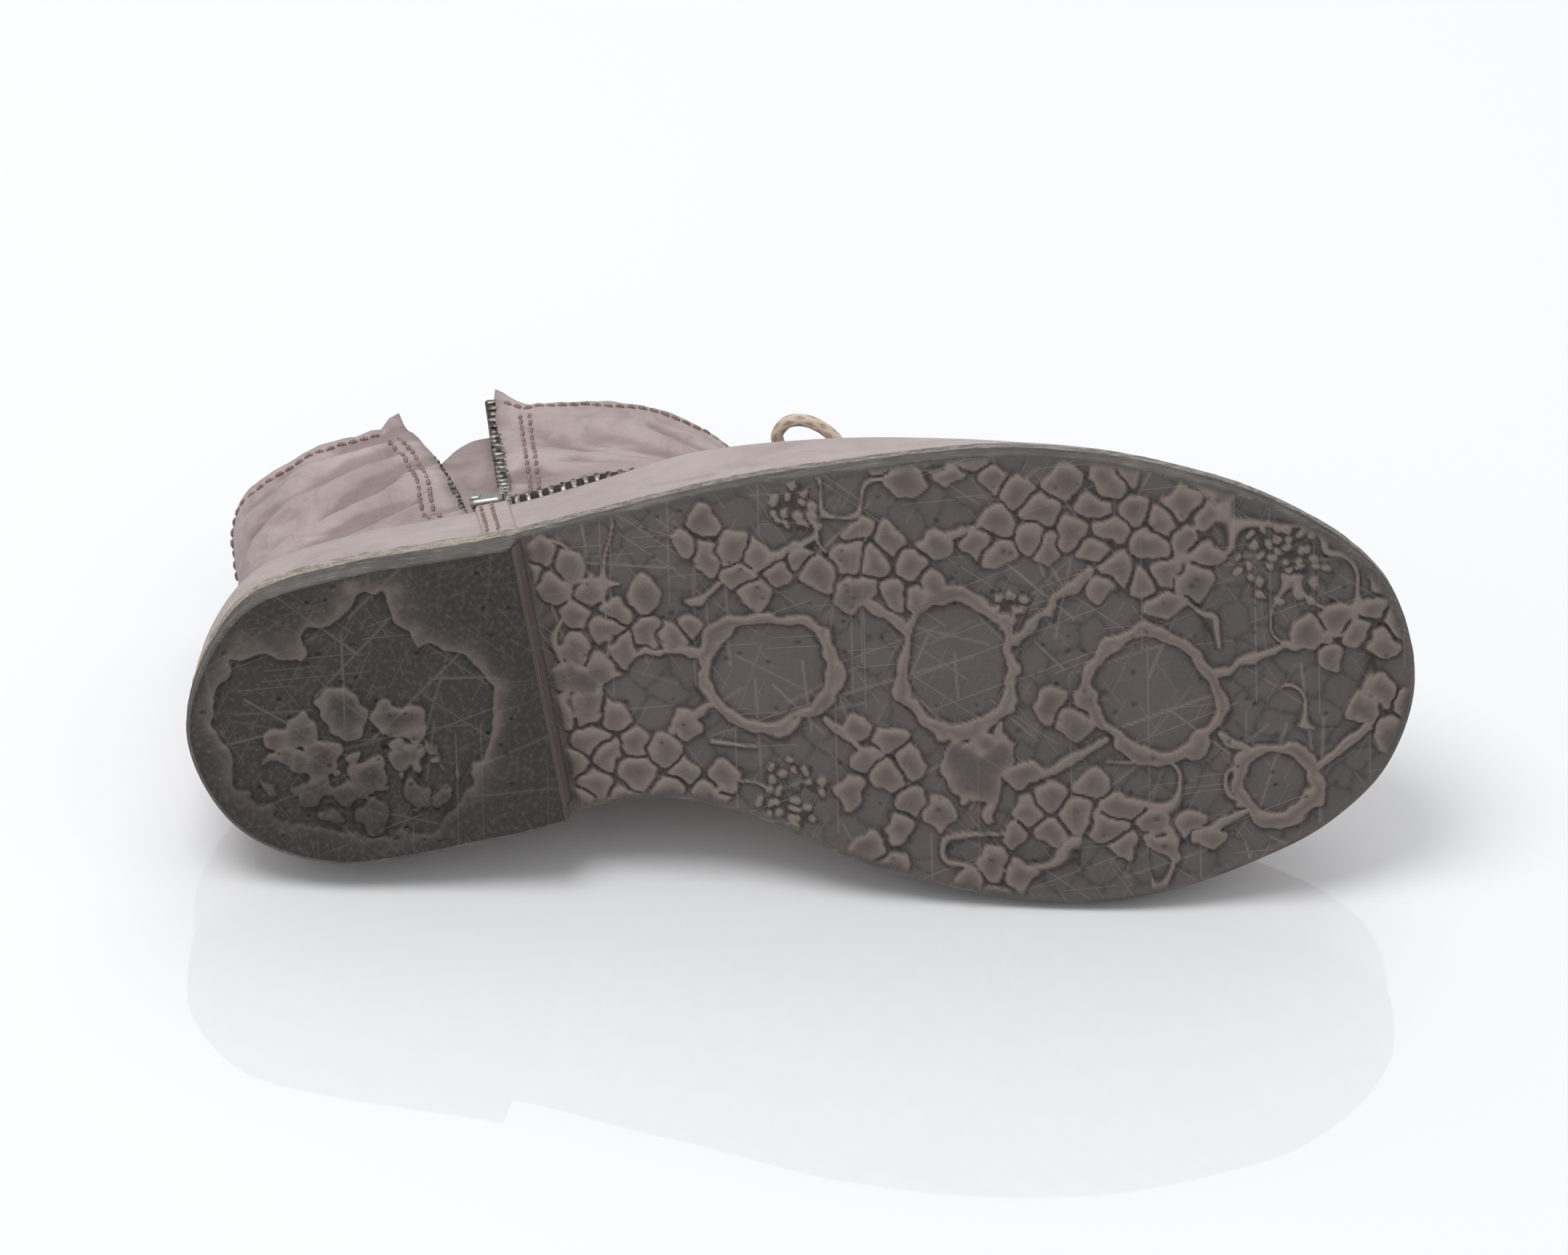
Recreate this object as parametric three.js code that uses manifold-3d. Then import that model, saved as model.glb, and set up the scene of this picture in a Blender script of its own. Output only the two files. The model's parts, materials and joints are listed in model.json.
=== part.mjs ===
// Ankle boot for the right foot, laced up the front, with a zip on each side. It lies on its inner
// side. Everything is modelled standing, with x from heel to toe, out towards the outer side and up
// from the tread, and the finished boot is laid down at the end. Millimetres.
import * as THREE from 'three';
import { mergeVertices } from 'three/addons/utils/BufferGeometryUtils.js';
import Module from 'manifold-3d';

const wasm = await Module();
wasm.setup();

// Driving dimensions
const LENGTH = 268; // sole, heel to toe
const BALL_WIDTH = 103.3; // sole, across the ball
const SHAFT_HEIGHT = 104; // front of the collar above the tread plane
const HEEL_STEP = 6; // how far the waist stands above the tread plane at the breast
const RUBBER = 5.5; // outsole under the ball
const MIDSOLE = 3.6; // midsole at its edge
const EDGE_INSET = 3.4; // sole edge to the foot of the upper
const WALL = 1.9; // leather and lining together
const BAND = 0.9; // how far the low band of leather stands proud of the shaft
const LIP = 0.8; // folded edge above the toothed trim
const STRAP = 0.8; // stitched strap over the band
const GAP = 0.3; // between pieces that touch
const INSOLE = 3;
const TONGUE = 2;
const GUARD = 1.4;
const TRIM_WIDTH = 3; // toothed trim between band and lip
const TRIM_DEPTH = 1.2;
const ROW_WIDTH = 3; // open row of zip teeth
const ROW_DEPTH = 1.6;
const CHAIN_WIDTH = 6; // closed zip on the inner side
const CHAIN_DEPTH = 0.7;
const THROAT_HALF = 9; // half the width of the lace throat
const EYELET_SET = 6; // edge of the throat to the middle of an eyelet
const EYELET_PITCH = 12.5;
const EYELET_ROWS = 5;
const EYELET_R = 3.4;
const EYELET_BORE = 1.6;
const EYELET_RIM = 0.7;
const LACE = 2.8; // diameter
const KNOT = [9, 8, 7.5];

// Outline of the sole, in shares of LENGTH and of BALL_WIDTH from the line out = 0
const OUTLINE = [
  { at: 0.015, outer: -0.106, inner: -0.387 },
  { at: 0.05, outer: 0.019, inner: -0.494 },
  { at: 0.12, outer: 0.089, inner: -0.556 },
  { at: 0.26, outer: 0.165, inner: -0.49 },
  { at: 0.38, outer: 0.257, inner: -0.409 },
  { at: 0.46, outer: 0.313, inner: -0.437 },
  { at: 0.56, outer: 0.364, inner: -0.534 },
  { at: 0.65, outer: 0.394, inner: -0.591 },
  { at: 0.735, outer: 0.387, inner: -0.606 },
  { at: 0.81, outer: 0.35, inner: -0.573 },
  { at: 0.88, outer: 0.287, inner: -0.502 },
  { at: 0.94, outer: 0.196, inner: -0.411 },
  { at: 0.98, outer: 0.078, inner: -0.3 },
];
const OUTLINE_ENDS = { back: -0.257, tip: -0.115 };

// Layers of the sole along its length: heights in shares of HEEL_STEP, RUBBER and MIDSOLE
const LAYERS = [
  { at: 0, lift: 1, rubber: 0.44, midsole: 1.15 },
  { at: 0.28, lift: 1, rubber: 0.44, midsole: 1.15 },
  { at: 0.4, lift: 0.72, rubber: 0.66, midsole: 0.98 },
  { at: 0.56, lift: 0.04, rubber: 0.98, midsole: 0.85 },
  { at: 0.62, lift: 0, rubber: 1, midsole: 0.83 },
  { at: 0.76, lift: 0, rubber: 1, midsole: 0.83 },
  { at: 0.9, lift: 0.32, rubber: 0.97, midsole: 0.82 },
  { at: 1, lift: 1.05, rubber: 0.87, midsole: 0.78 },
];
const HEEL_BREAST = { outer: 0.262, inner: 0.31, slant: 0.3 };

// Rings of the upper from the feather edge to the collar. Each lies in a plane from back to nose.
// back and nose in shares of LENGTH, heights in shares of SHAFT_HEIGHT, all else in shares of
// BALL_WIDTH or plain factors: follow keeps the curve of the sole, heelFit and noseFit scale the
// outline of the sole, and oval blends towards the oval of the leg.
const RINGS = [
  { back: 0.0127, backUp: 0.1275, nose: 0.9873, noseUp: 0.1525, follow: 1, heelFit: 1, noseFit: 1,
    oval: 0, outer: 0.3, inner: 0.3, backOut: -0.24, noseOut: -0.12 },
  { back: 0.0085, backUp: 0.172, nose: 0.991, noseUp: 0.205, follow: 1, heelFit: 1.02, noseFit: 0.98,
    oval: 0, outer: 0.3, inner: 0.3, backOut: -0.24, noseOut: -0.12 },
  { back: 0.006, backUp: 0.222, nose: 0.981, noseUp: 0.3, follow: 0.6, heelFit: 1.01, noseFit: 0.87,
    oval: 0, outer: 0.3, inner: 0.3, backOut: -0.23, noseOut: -0.12 },
  { back: 0.006, backUp: 0.262, nose: 0.93, noseUp: 0.395, follow: 0.25, heelFit: 1, noseFit: 0.75,
    oval: 0, outer: 0.3, inner: 0.3, backOut: -0.23, noseOut: -0.12 },
  { back: 0.0085, backUp: 0.3, nose: 0.79, noseUp: 0.48, follow: 0, heelFit: 1, noseFit: 0.65,
    oval: 0.05, outer: 0.3, inner: 0.34, backOut: -0.22, noseOut: -0.12 },
  { back: 0.017, backUp: 0.37, nose: 0.705, noseUp: 0.555, follow: 0, heelFit: 0.97, noseFit: 0.59,
    oval: 0.3, outer: 0.29, inner: 0.34, backOut: -0.21, noseOut: -0.12 },
  { back: 0.028, backUp: 0.45, nose: 0.633, noseUp: 0.635, follow: 0, heelFit: 0.94, noseFit: 0.55,
    oval: 0.6, outer: 0.28, inner: 0.322, backOut: -0.2, noseOut: -0.115 },
  { back: 0.035, backUp: 0.535, nose: 0.575, noseUp: 0.715, follow: 0, heelFit: 0.9, noseFit: 0.56,
    oval: 0.85, outer: 0.27, inner: 0.296, backOut: -0.19, noseOut: -0.11 },
  { back: 0.0355, backUp: 0.625, nose: 0.53, noseUp: 0.795, follow: 0, heelFit: 0.9, noseFit: 0.56,
    oval: 1, outer: 0.265, inner: 0.27, backOut: -0.18, noseOut: -0.105 },
  { back: 0.032, backUp: 0.72, nose: 0.496, noseUp: 0.87, follow: 0, heelFit: 0.9, noseFit: 0.56,
    oval: 1, outer: 0.265, inner: 0.25, backOut: -0.175, noseOut: -0.1 },
  { back: 0.027, backUp: 0.82, nose: 0.474, noseUp: 0.94, follow: 0, heelFit: 0.9, noseFit: 0.56,
    oval: 1, outer: 0.266, inner: 0.232, backOut: -0.17, noseOut: -0.095 },
  { back: 0.023, backUp: 0.91, nose: 0.463, noseUp: 1, follow: 0, heelFit: 0.9, noseFit: 0.56,
    oval: 1, outer: 0.268, inner: 0.215, backOut: -0.17, noseOut: -0.092 },
];
const BAND_RING = RINGS.findIndex((row) => row.oval > 0); // its plane is the top of the low band
const LIP_RING = BAND_RING + 1.4; // just above the lip over the trim
const COLLAR_RING = RINGS.length - 1;
const THROAT_RING = 6.1; // foot of the throat
const FORE_START = 0.22; // ahead of this share of LENGTH a ring draws back from the toe
const FORE_POWER = 1.15;
const OVAL_POWER = 2.5;
const SIDES_MEET = -0.08 * BALL_WIDTH; // the outer and the inner side of the boot meet here

// Outer zip, in shares of LENGTH and of SHAFT_HEIGHT, from its foot to the collar
const ZIP_EDGE = [
  { rear: 0.227, front: 0.2575, up: 0.35 },
  { rear: 0.2175, front: 0.2575, up: 0.45 },
  { rear: 0.211, front: 0.255, up: 0.6 },
  { rear: 0.194, front: 0.25, up: 0.77 },
  { rear: 0.163, front: 0.2465, up: 1 },
  { rear: 0.155, front: 0.246, up: 1.08 },
];
const GUARD_SHAPE = { rear: 0.195, front: 0.295, foot: 0.3, top: 0.9 };
const STRAP_OUTER = { rear: 0.236, front: 0.272, lean: 0.012 };
const STRAP_INNER = { rear: 0.39, front: 0.435, lean: -0.03 };
const CHAIN_FOOT = { at: 0.345, up: 0.385 };
const CHAIN_TOP = { at: 0.3, up: 0.925 };

// Resolution
const AROUND = 56; // faces around the upper
const SOLE_AROUND = 72;

const leather = { color: 0xb0a2a2, roughness: 0.6, metalness: 0 };
const rubber = { color: 0x534e4b, roughness: 0.75, metalness: 0 };
const board = { color: 0x98908a, roughness: 0.8, metalness: 0 };
const metal = { color: 0xc4c2be, roughness: 0.25, metalness: 1 };
const cotton = { color: 0xcdbeaf, roughness: 0.9, metalness: 0 };

// A point of the standing boot: x along, out towards the outer side of the right foot, up
function at(x, out, up) {
  return new THREE.Vector3(x, -out, up);
}

// Value of a named column between two rows, eased at both
function between(rows, column, share) {
  const next = rows.findIndex((row) => row.at >= share);
  if (next <= 0) return rows[next === 0 ? 0 : rows.length - 1][column];
  const low = rows[next - 1];
  const high = rows[next];
  const step = THREE.MathUtils.smoothstep(share, low.at, high.at);
  return THREE.MathUtils.lerp(low[column], high[column], step);
}

// Heights of the sole at a place along it
function plateUnder(x) {
  return HEEL_STEP * between(LAYERS, 'lift', x / LENGTH);
}

function rubberTop(x) {
  return plateUnder(x) + RUBBER * between(LAYERS, 'rubber', x / LENGTH);
}

function soleTop(x) {
  return rubberTop(x) + GAP + MIDSOLE * between(LAYERS, 'midsole', x / LENGTH);
}

// Closed outline of the sole, from the back of the heel along the outer side
const outlinePoints = [
  at(0, OUTLINE_ENDS.back * BALL_WIDTH, 0),
  ...OUTLINE.map((row) => at(row.at * LENGTH, row.outer * BALL_WIDTH, 0)),
  at(LENGTH, OUTLINE_ENDS.tip * BALL_WIDTH, 0),
  ...OUTLINE.toReversed().map((row) => at(row.at * LENGTH, row.inner * BALL_WIDTH, 0)),
];
const outline = new THREE.CatmullRomCurve3(outlinePoints, true, 'centripetal');

function outlinePoint(turn, inset) {
  const point = outline.getPoint(turn % 1);
  const tangent = outline.getTangent(turn % 1);
  return point.add(new THREE.Vector3(-tangent.y, tangent.x, 0).multiplyScalar(inset));
}

// Geometry of a closed surface, turned so that its faces point out
function closedGeometry(points, faces) {
  let volume = 0;
  const cross = new THREE.Vector3();
  for (const [a, b, c] of faces) {
    volume += points[a].dot(cross.crossVectors(points[b], points[c]));
  }
  const index = faces.flatMap(([a, b, c]) => (volume > 0 ? [a, b, c] : [a, c, b]));
  const geometry = new THREE.BufferGeometry();
  const positions = points.flatMap((point) => point.toArray());
  geometry.setAttribute('position', new THREE.Float32BufferAttribute(positions, 3));
  geometry.setIndex(index);
  return geometry;
}

function toSolid(source) {
  const bare = source.clone();
  bare.deleteAttribute('normal');
  bare.deleteAttribute('uv');
  const merged = mergeVertices(bare, 1e-4);
  return new wasm.Manifold(new wasm.Mesh({
    numProp: 3,
    vertProperties: new Float32Array(merged.attributes.position.array),
    triVerts: new Uint32Array(merged.index.array),
  }));
}

function toGeometry(manifold) {
  const mesh = manifold.getMesh();
  const geometry = new THREE.BufferGeometry();
  geometry.setAttribute('position', new THREE.Float32BufferAttribute(mesh.vertProperties, 3));
  geometry.setIndex([...mesh.triVerts]);
  return geometry;
}

// A band of faces between two rings of equal count
function ringFaces(first, second, count, faces) {
  for (let i = 0; i < count; i += 1) {
    const j = (i + 1) % count;
    faces.push([first + i, first + j, second + j], [first + i, second + j, second + i]);
  }
}

// A plate with the outline of the sole. Each level has an inset and a height along x.
function plate(levels, count) {
  const points = [];
  const faces = [];
  for (const level of levels) {
    for (let i = 0; i < count; i += 1) {
      const point = outlinePoint(i / count, level.inset);
      point.z = level.up(point.x);
      points.push(point);
    }
  }
  for (let k = 0; k + 1 < levels.length; k += 1) ringFaces(k * count, (k + 1) * count, count, faces);
  const last = (levels.length - 1) * count;
  for (let i = 0; i < count / 2; i += 1) {
    const a = i;
    const b = i + 1;
    const c = (count - i - 1) % count;
    const d = (count - i) % count;
    if (b !== c) faces.push([a, c, b], [last + a, last + b, last + c]);
    if (a !== d) faces.push([a, d, c], [last + a, last + c, last + d]);
  }
  return closedGeometry(points, faces);
}

// Prism between two values of out, from a side view given as [x, up] pairs
function sidePrism(corners, outLow, outHigh) {
  const shape = new THREE.Shape(corners.map(([x, up]) => new THREE.Vector2(x, up)));
  const prism = new THREE.ExtrudeGeometry(shape, { depth: outHigh - outLow, bevelEnabled: false });
  prism.rotateX(Math.PI / 2);
  prism.translate(0, -outLow, 0);
  return toSolid(prism);
}

// Outsole: a thin waist and forefoot with a heel block, its edge stepped in above a bottom lip
const EDGE_STEP = 0.7;
const EDGE_LIP = 1.8;
const EDGE_CHAMFER = 0.8;
const LIP_STEP = 0.2; // height of the step above the bottom lip
const BLOCK_SINK = 1; // how far the heel block runs up into the sole

function lipTop(x) {
  return plateUnder(x) + EDGE_LIP * between(LAYERS, 'rubber', x / LENGTH);
}

function makeOutsole() {
  const sole = toSolid(plate([
    { inset: EDGE_CHAMFER, up: (x) => plateUnder(x) },
    { inset: 0, up: (x) => plateUnder(x) + EDGE_CHAMFER },
    { inset: 0, up: lipTop },
    { inset: EDGE_STEP, up: (x) => lipTop(x) + LIP_STEP },
    { inset: EDGE_STEP, up: rubberTop },
  ], SOLE_AROUND));
  const blockTop = (x) => Math.min(HEEL_STEP, rubberTop(x) - 2 * BLOCK_SINK) + BLOCK_SINK;
  const block = toSolid(plate([
    { inset: EDGE_CHAMFER, up: () => 0 },
    { inset: 0, up: () => EDGE_CHAMFER },
    { inset: 0, up: (x) => Math.max(blockTop(x), 2 * EDGE_CHAMFER) },
  ], SOLE_AROUND));
  const outer = HEEL_BREAST.outer * LENGTH;
  const inner = HEEL_BREAST.inner * LENGTH;
  const lean = HEEL_BREAST.slant * HEEL_STEP;
  const side = BALL_WIDTH;
  const low = -HEEL_STEP;
  const high = HEEL_STEP + 2 * BLOCK_SINK;
  const behind = toSolid(closedGeometry([
    at(-side, side, low),
    at(outer, side, low),
    at(inner, -side, low),
    at(-side, -side, low),
    at(-side, side, high),
    at(outer + lean, side, high),
    at(inner + lean, -side, high),
    at(-side, -side, high),
  ], [
    [0, 1, 2], [0, 2, 3], [4, 6, 5], [4, 7, 6], [0, 4, 5], [0, 5, 1],
    [1, 5, 6], [1, 6, 2], [2, 6, 7], [2, 7, 3], [3, 7, 4], [3, 4, 0],
  ]));
  return toGeometry(sole.add(block.intersect(behind)));
}

// Midsole: the lighter layered edge between rubber and upper, with a fine groove
const GROOVE = 0.5;

function makeMidsole() {
  const rise = (share) => (x) => THREE.MathUtils.lerp(rubberTop(x) + GAP, soleTop(x), share);
  return plate([
    { inset: 0, up: rise(0) },
    { inset: 0, up: rise(0.4) },
    { inset: GROOVE, up: rise(0.5) },
    { inset: 0, up: rise(0.6) },
    { inset: 0, up: rise(1) },
  ], SOLE_AROUND);
}

// Insole: the board that the foot stands on, inside the foot of the upper
function makeInsole() {
  const inset = EDGE_INSET + WALL + 3 * GAP;
  return plate([
    { inset, up: (x) => soleTop(x) + GAP },
    { inset, up: (x) => soleTop(x) + GAP + INSOLE },
  ], AROUND);
}

// Every column of the ring table at a ring number between rows
function ringAt(number) {
  const low = Math.min(Math.floor(number), COLLAR_RING - 1);
  const step = number - low;
  const rows = [-1, 0, 1, 2].map((k) => RINGS[THREE.MathUtils.clamp(low + k, 0, COLLAR_RING)]);
  const ring = {};
  for (const column of Object.keys(RINGS[0])) {
    const [a, b, c, d] = rows.map((row) => row[column]);
    const turn = 0.5 * (c - a);
    const turnNext = 0.5 * (d - b);
    const rest = c - b;
    ring[column] = b + turn * step + (3 * rest - 2 * turn - turnNext) * step ** 2
      + (turn + turnNext - 2 * rest) * step ** 3;
  }
  return ring;
}

// Point on the outside of the upper: turn runs around from the heel, number up the rings
function upperPoint(turn, number) {
  const ring = ringAt(number);
  const base = outlinePoint(turn, EDGE_INSET);
  const first = outlinePoint(0, EDGE_INSET).x;
  const tip = outlinePoint(0.5, EDGE_INSET).x;
  const start = FORE_START * LENGTH;
  const fore = THREE.MathUtils.clamp((base.x - start) / (tip - start), 0, 1) ** FORE_POWER;
  const heel = THREE.MathUtils.clamp(1 - (base.x - first) / (start - first), 0, 1);
  const back = ring.back * LENGTH;
  const nose = ring.nose * LENGTH;
  const x = base.x + heel * (back - first) + fore * (nose - tip);
  const along = THREE.MathUtils.clamp((x - back) / (nose - back), 0, 1);
  const level = THREE.MathUtils.lerp(ring.backUp, ring.noseUp, along) * SHAFT_HEIGHT;
  const chord = THREE.MathUtils.lerp(soleTop(first), soleTop(tip), along);
  const up = level + ring.follow * (soleTop(base.x) - chord);
  const ends = [OUTLINE_ENDS.back, OUTLINE_ENDS.tip];
  const middle = THREE.MathUtils.lerp(...ends, base.x / LENGTH) * BALL_WIDTH;
  const fit = THREE.MathUtils.lerp(ring.heelFit, ring.noseFit, fore);
  const footOut = middle + (-base.y - middle) * fit;
  const side = -base.y > middle ? ring.outer : -ring.inner;
  const bow = Math.max(0, 1 - Math.abs(2 * along - 1) ** OVAL_POWER) ** (1 / OVAL_POWER);
  const axis = THREE.MathUtils.lerp(ring.backOut, ring.noseOut, along) * BALL_WIDTH;
  const legOut = axis + side * BALL_WIDTH * bow;
  return at(x, THREE.MathUtils.lerp(footOut, legOut, ring.oval), up);
}

function upperNormal(turn, number) {
  const step = 0.004;
  const rise = 0.05;
  const low = Math.max(number - rise, 0);
  const high = Math.min(number + rise, COLLAR_RING);
  const around = upperPoint((turn + step) % 1, number).sub(upperPoint((turn + 1 - step) % 1, number));
  const upward = upperPoint(turn, high).sub(upperPoint(turn, low));
  return around.cross(upward).normalize();
}

// Line of the band's top edge in the side view, raised square to itself
function bandLine(x, raise) {
  const ring = RINGS[BAND_RING];
  const run = (ring.nose - ring.back) * LENGTH;
  const climb = (ring.noseUp - ring.backUp) * SHAFT_HEIGHT;
  const slope = climb / run;
  return ring.backUp * SHAFT_HEIGHT + slope * (x - ring.back * LENGTH) + raise * Math.hypot(1, slope);
}

// Ring number where the outer face reaches a height above the band line
function raisedNumber(turn, raise) {
  let low = BAND_RING - 1;
  let high = BAND_RING + 3;
  for (let i = 0; i < 24; i += 1) {
    const middle = (low + high) / 2;
    const point = upperPoint(turn, middle);
    if (point.z < bandLine(point.x, raise)) low = middle;
    else high = middle;
  }
  return (low + high) / 2;
}

// A hollow skin that follows the upper. Each level has a ring number, or a height above the band
// line, and a distance from the outer face, which may change around the ring.
function levelPoint(level, turn) {
  const number = level.number ?? raisedNumber(turn, level.raise);
  const point = upperPoint(turn, number);
  const up = point.z;
  const distance = level.distanceAt ? level.distanceAt(point) : level.distance;
  point.addScaledVector(upperNormal(turn, number), distance);
  if (number === 0) point.z = up;
  return point;
}

function hollow(outer, inner) {
  const points = [];
  const faces = [];
  for (const level of [...outer, ...inner]) {
    for (let i = 0; i < AROUND; i += 1) points.push(levelPoint(level, i / AROUND));
  }
  const levels = outer.length + inner.length;
  for (let k = 0; k < levels; k += 1) {
    ringFaces(k * AROUND, ((k + 1) % levels) * AROUND, AROUND, faces);
  }
  return toSolid(closedGeometry(points, faces));
}

// The rings that the wall is lofted through. Whatever lies along the wall uses them as well.
const WALL_NUMBERS = [0, 1, 2, 3, BAND_RING, LIP_RING];
for (let number = BAND_RING + 2; number <= COLLAR_RING; number += 1) WALL_NUMBERS.push(number);

function skin(outside, inside, foot, top) {
  const numbers = WALL_NUMBERS.filter((number) => number >= foot && number <= top);
  const level = (distance) => (number) => ({ number, distance });
  return hollow(numbers.map(level(outside)), numbers.toReversed().map(level(inside)));
}

function slab(low, high, from, to, outLow, outHigh) {
  return sidePrism([
    [from, bandLine(from, low)], [to, bandLine(to, low)],
    [to, bandLine(to, high)], [from, bandLine(from, high)],
  ], outLow, outHigh);
}

const FAR = 2 * LENGTH;
const trimStart = STRAP_OUTER.front * LENGTH;
const trimEnd = STRAP_INNER.front * LENGTH;

// What lies ahead of the two straps, around the height of the trim
function aheadOfStraps(clear) {
  const low = -2 * TRIM_WIDTH;
  const high = 4 * TRIM_WIDTH;
  const outerSide = slab(low, high, trimStart + clear, FAR, SIDES_MEET, BALL_WIDTH);
  const innerSide = slab(low, high, trimEnd + clear, FAR, -BALL_WIDTH, SIDES_MEET);
  return outerSide.add(innerSide);
}

function zipWedge() {
  const rear = ZIP_EDGE.map((row) => [row.rear * LENGTH, row.up * SHAFT_HEIGHT]);
  const front = ZIP_EDGE.map((row) => [row.front * LENGTH, row.up * SHAFT_HEIGHT]);
  return sidePrism([...rear, ...front.reverse()], SIDES_MEET, BALL_WIDTH);
}

// Point on the upper at a distance around the ring from its nose, outer side positive
function aroundNose(number, distance) {
  const steps = 60;
  const stride = 0.25 / steps;
  let turn = 0.5;
  let run = 0;
  let here = upperPoint(turn, number);
  for (let i = 0; i < steps && run < Math.abs(distance); i += 1) {
    const nextTurn = turn - Math.sign(distance) * stride;
    const there = upperPoint(nextTurn, number);
    const length = there.distanceTo(here);
    const part = Math.min(1, (Math.abs(distance) - run) / length);
    turn += (nextTurn - turn) * part;
    run += length * part;
    here = upperPoint(turn, number);
  }
  return { point: here, normal: upperNormal(turn, number) };
}

function offNose(number, distance, height) {
  const { point, normal } = aroundNose(number, distance);
  return point.addScaledVector(normal, height);
}

// Ring number at a distance up the middle of the throat from its foot
function throatRing(distance) {
  let number = THROAT_RING;
  let run = 0;
  const stride = 0.05;
  while (run < distance && number < COLLAR_RING) {
    run += upperPoint(0.5, number + stride).distanceTo(upperPoint(0.5, number));
    number += stride;
  }
  return Math.min(number, COLLAR_RING);
}

// A closed strip laid over the throat between two heights, from a list of { number, half }
function throatStrip(stations, low, high) {
  const across = 8;
  const points = [];
  const faces = [];
  for (const height of [high, low]) {
    for (const station of stations) {
      for (let i = 0; i <= across; i += 1) {
        const share = (2 * i) / across - 1;
        const point = offNose(Math.min(station.number, COLLAR_RING), share * station.half, height);
        point.z += station.raise ?? 0;
        points.push(point);
      }
    }
  }
  const row = across + 1;
  const sheet = stations.length * row;
  const quad = (a, b, c, d) => faces.push([a, b, c], [a, c, d]);
  for (let k = 0; k + 1 < stations.length; k += 1) {
    for (let i = 0; i < across; i += 1) {
      const a = k * row + i;
      quad(a, a + 1, a + row + 1, a + row);
      quad(sheet + a, sheet + a + row, sheet + a + row + 1, sheet + a + 1);
    }
    const left = k * row;
    const right = left + across;
    quad(left, left + row, sheet + left + row, sheet + left);
    quad(right, sheet + right, sheet + right + row, right + row);
  }
  const end = sheet - row;
  for (let i = 0; i < across; i += 1) {
    quad(i, sheet + i, sheet + i + 1, i + 1);
    quad(end + i, end + i + 1, sheet + end + i + 1, sheet + end + i);
  }
  return closedGeometry(points, faces);
}

function eyeletPlaces() {
  const places = [];
  for (let row = 0; row < EYELET_ROWS; row += 1) {
    const number = throatRing(EYELET_SET + row * EYELET_PITCH);
    for (const side of [1, -1]) {
      places.push({ row, side, number, distance: side * (THROAT_HALF + EYELET_SET) });
    }
  }
  return places;
}

function placeAlong(geometry, point, normal) {
  const turn = new THREE.Quaternion().setFromUnitVectors(new THREE.Vector3(0, 1, 0), normal);
  geometry.applyQuaternion(turn);
  geometry.translate(point.x, point.y, point.z);
  return geometry;
}

// Upper: shaft, vamp and counter as one hollow wall, with the low band, the lip above the trim and
// two straps standing proud, and the zip, the throat and the eyelet holes cut out
const STEP_RUN = 0.2; // height over which a step in the wall is made

function lipAt(distance) {
  return (point) => {
    const start = -point.y > SIDES_MEET ? trimStart : trimEnd;
    return distance * THREE.MathUtils.smoothstep(point.x, start - 1, start + 1);
  };
}

function makeUpper() {
  const bandNumbers = WALL_NUMBERS.filter((number) => number < BAND_RING);
  const shaftNumbers = WALL_NUMBERS.filter((number) => number > BAND_RING);
  const outer = [
    ...bandNumbers.map((number) => ({ number, distance: BAND })),
    { raise: 0, distance: BAND },
    { raise: STEP_RUN, distance: 0 },
    { raise: TRIM_WIDTH, distance: 0 },
    { raise: TRIM_WIDTH + STEP_RUN, distanceAt: lipAt(LIP) },
    { raise: 2 * TRIM_WIDTH, distanceAt: lipAt(0.8 * LIP) },
    ...shaftNumbers.map((number) => ({ number, distance: 0 })),
  ];
  const inner = WALL_NUMBERS.toReversed().map((number) => ({ number, distance: -WALL }));
  const wall = hollow(outer, inner);
  const raised = skin(BAND + STRAP, -WALL / 3, 0, LIP_RING);
  const strapSide = (strap, outLow, outHigh) => {
    const foot = soleTop(strap.rear * LENGTH) + 1;
    const lean = strap.lean * LENGTH;
    return sidePrism([
      [strap.rear * LENGTH + lean, foot], [strap.front * LENGTH + lean, foot],
      [strap.front * LENGTH, bandLine(strap.front * LENGTH, STRAP)],
      [strap.rear * LENGTH, bandLine(strap.rear * LENGTH, STRAP)],
    ], outLow, outHigh);
  };
  const straps = raised.intersect(strapSide(STRAP_OUTER, SIDES_MEET, BALL_WIDTH))
    .add(raised.intersect(strapSide(STRAP_INNER, -BALL_WIDTH, SIDES_MEET)));
  let upper = wall.add(straps).subtract(zipWedge());
  const throatNumbers = [0, 0.12, 0.35, 0.6, 0.8, 1].map((share) => (
    THREE.MathUtils.lerp(THROAT_RING, COLLAR_RING, share)));
  const throatHalf = [0.45, 0.85, 1, 1, 1, 1.05];
  const stations = throatNumbers.map((number, k) => ({ number, half: THROAT_HALF * throatHalf[k] }));
  stations.push({ number: COLLAR_RING, half: THROAT_HALF * 1.05, raise: THROAT_HALF });
  upper = upper.subtract(toSolid(throatStrip(stations, -2 * WALL, 2 * WALL)));
  for (const place of eyeletPlaces()) {
    const { point, normal } = aroundNose(place.number, place.distance);
    const hole = new THREE.CylinderGeometry(EYELET_BORE + 2 * GAP, EYELET_BORE + 2 * GAP, 3 * WALL, 8);
    upper = upper.subtract(toSolid(placeAlong(hole, point, normal)));
  }
  return toGeometry(upper);
}

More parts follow.
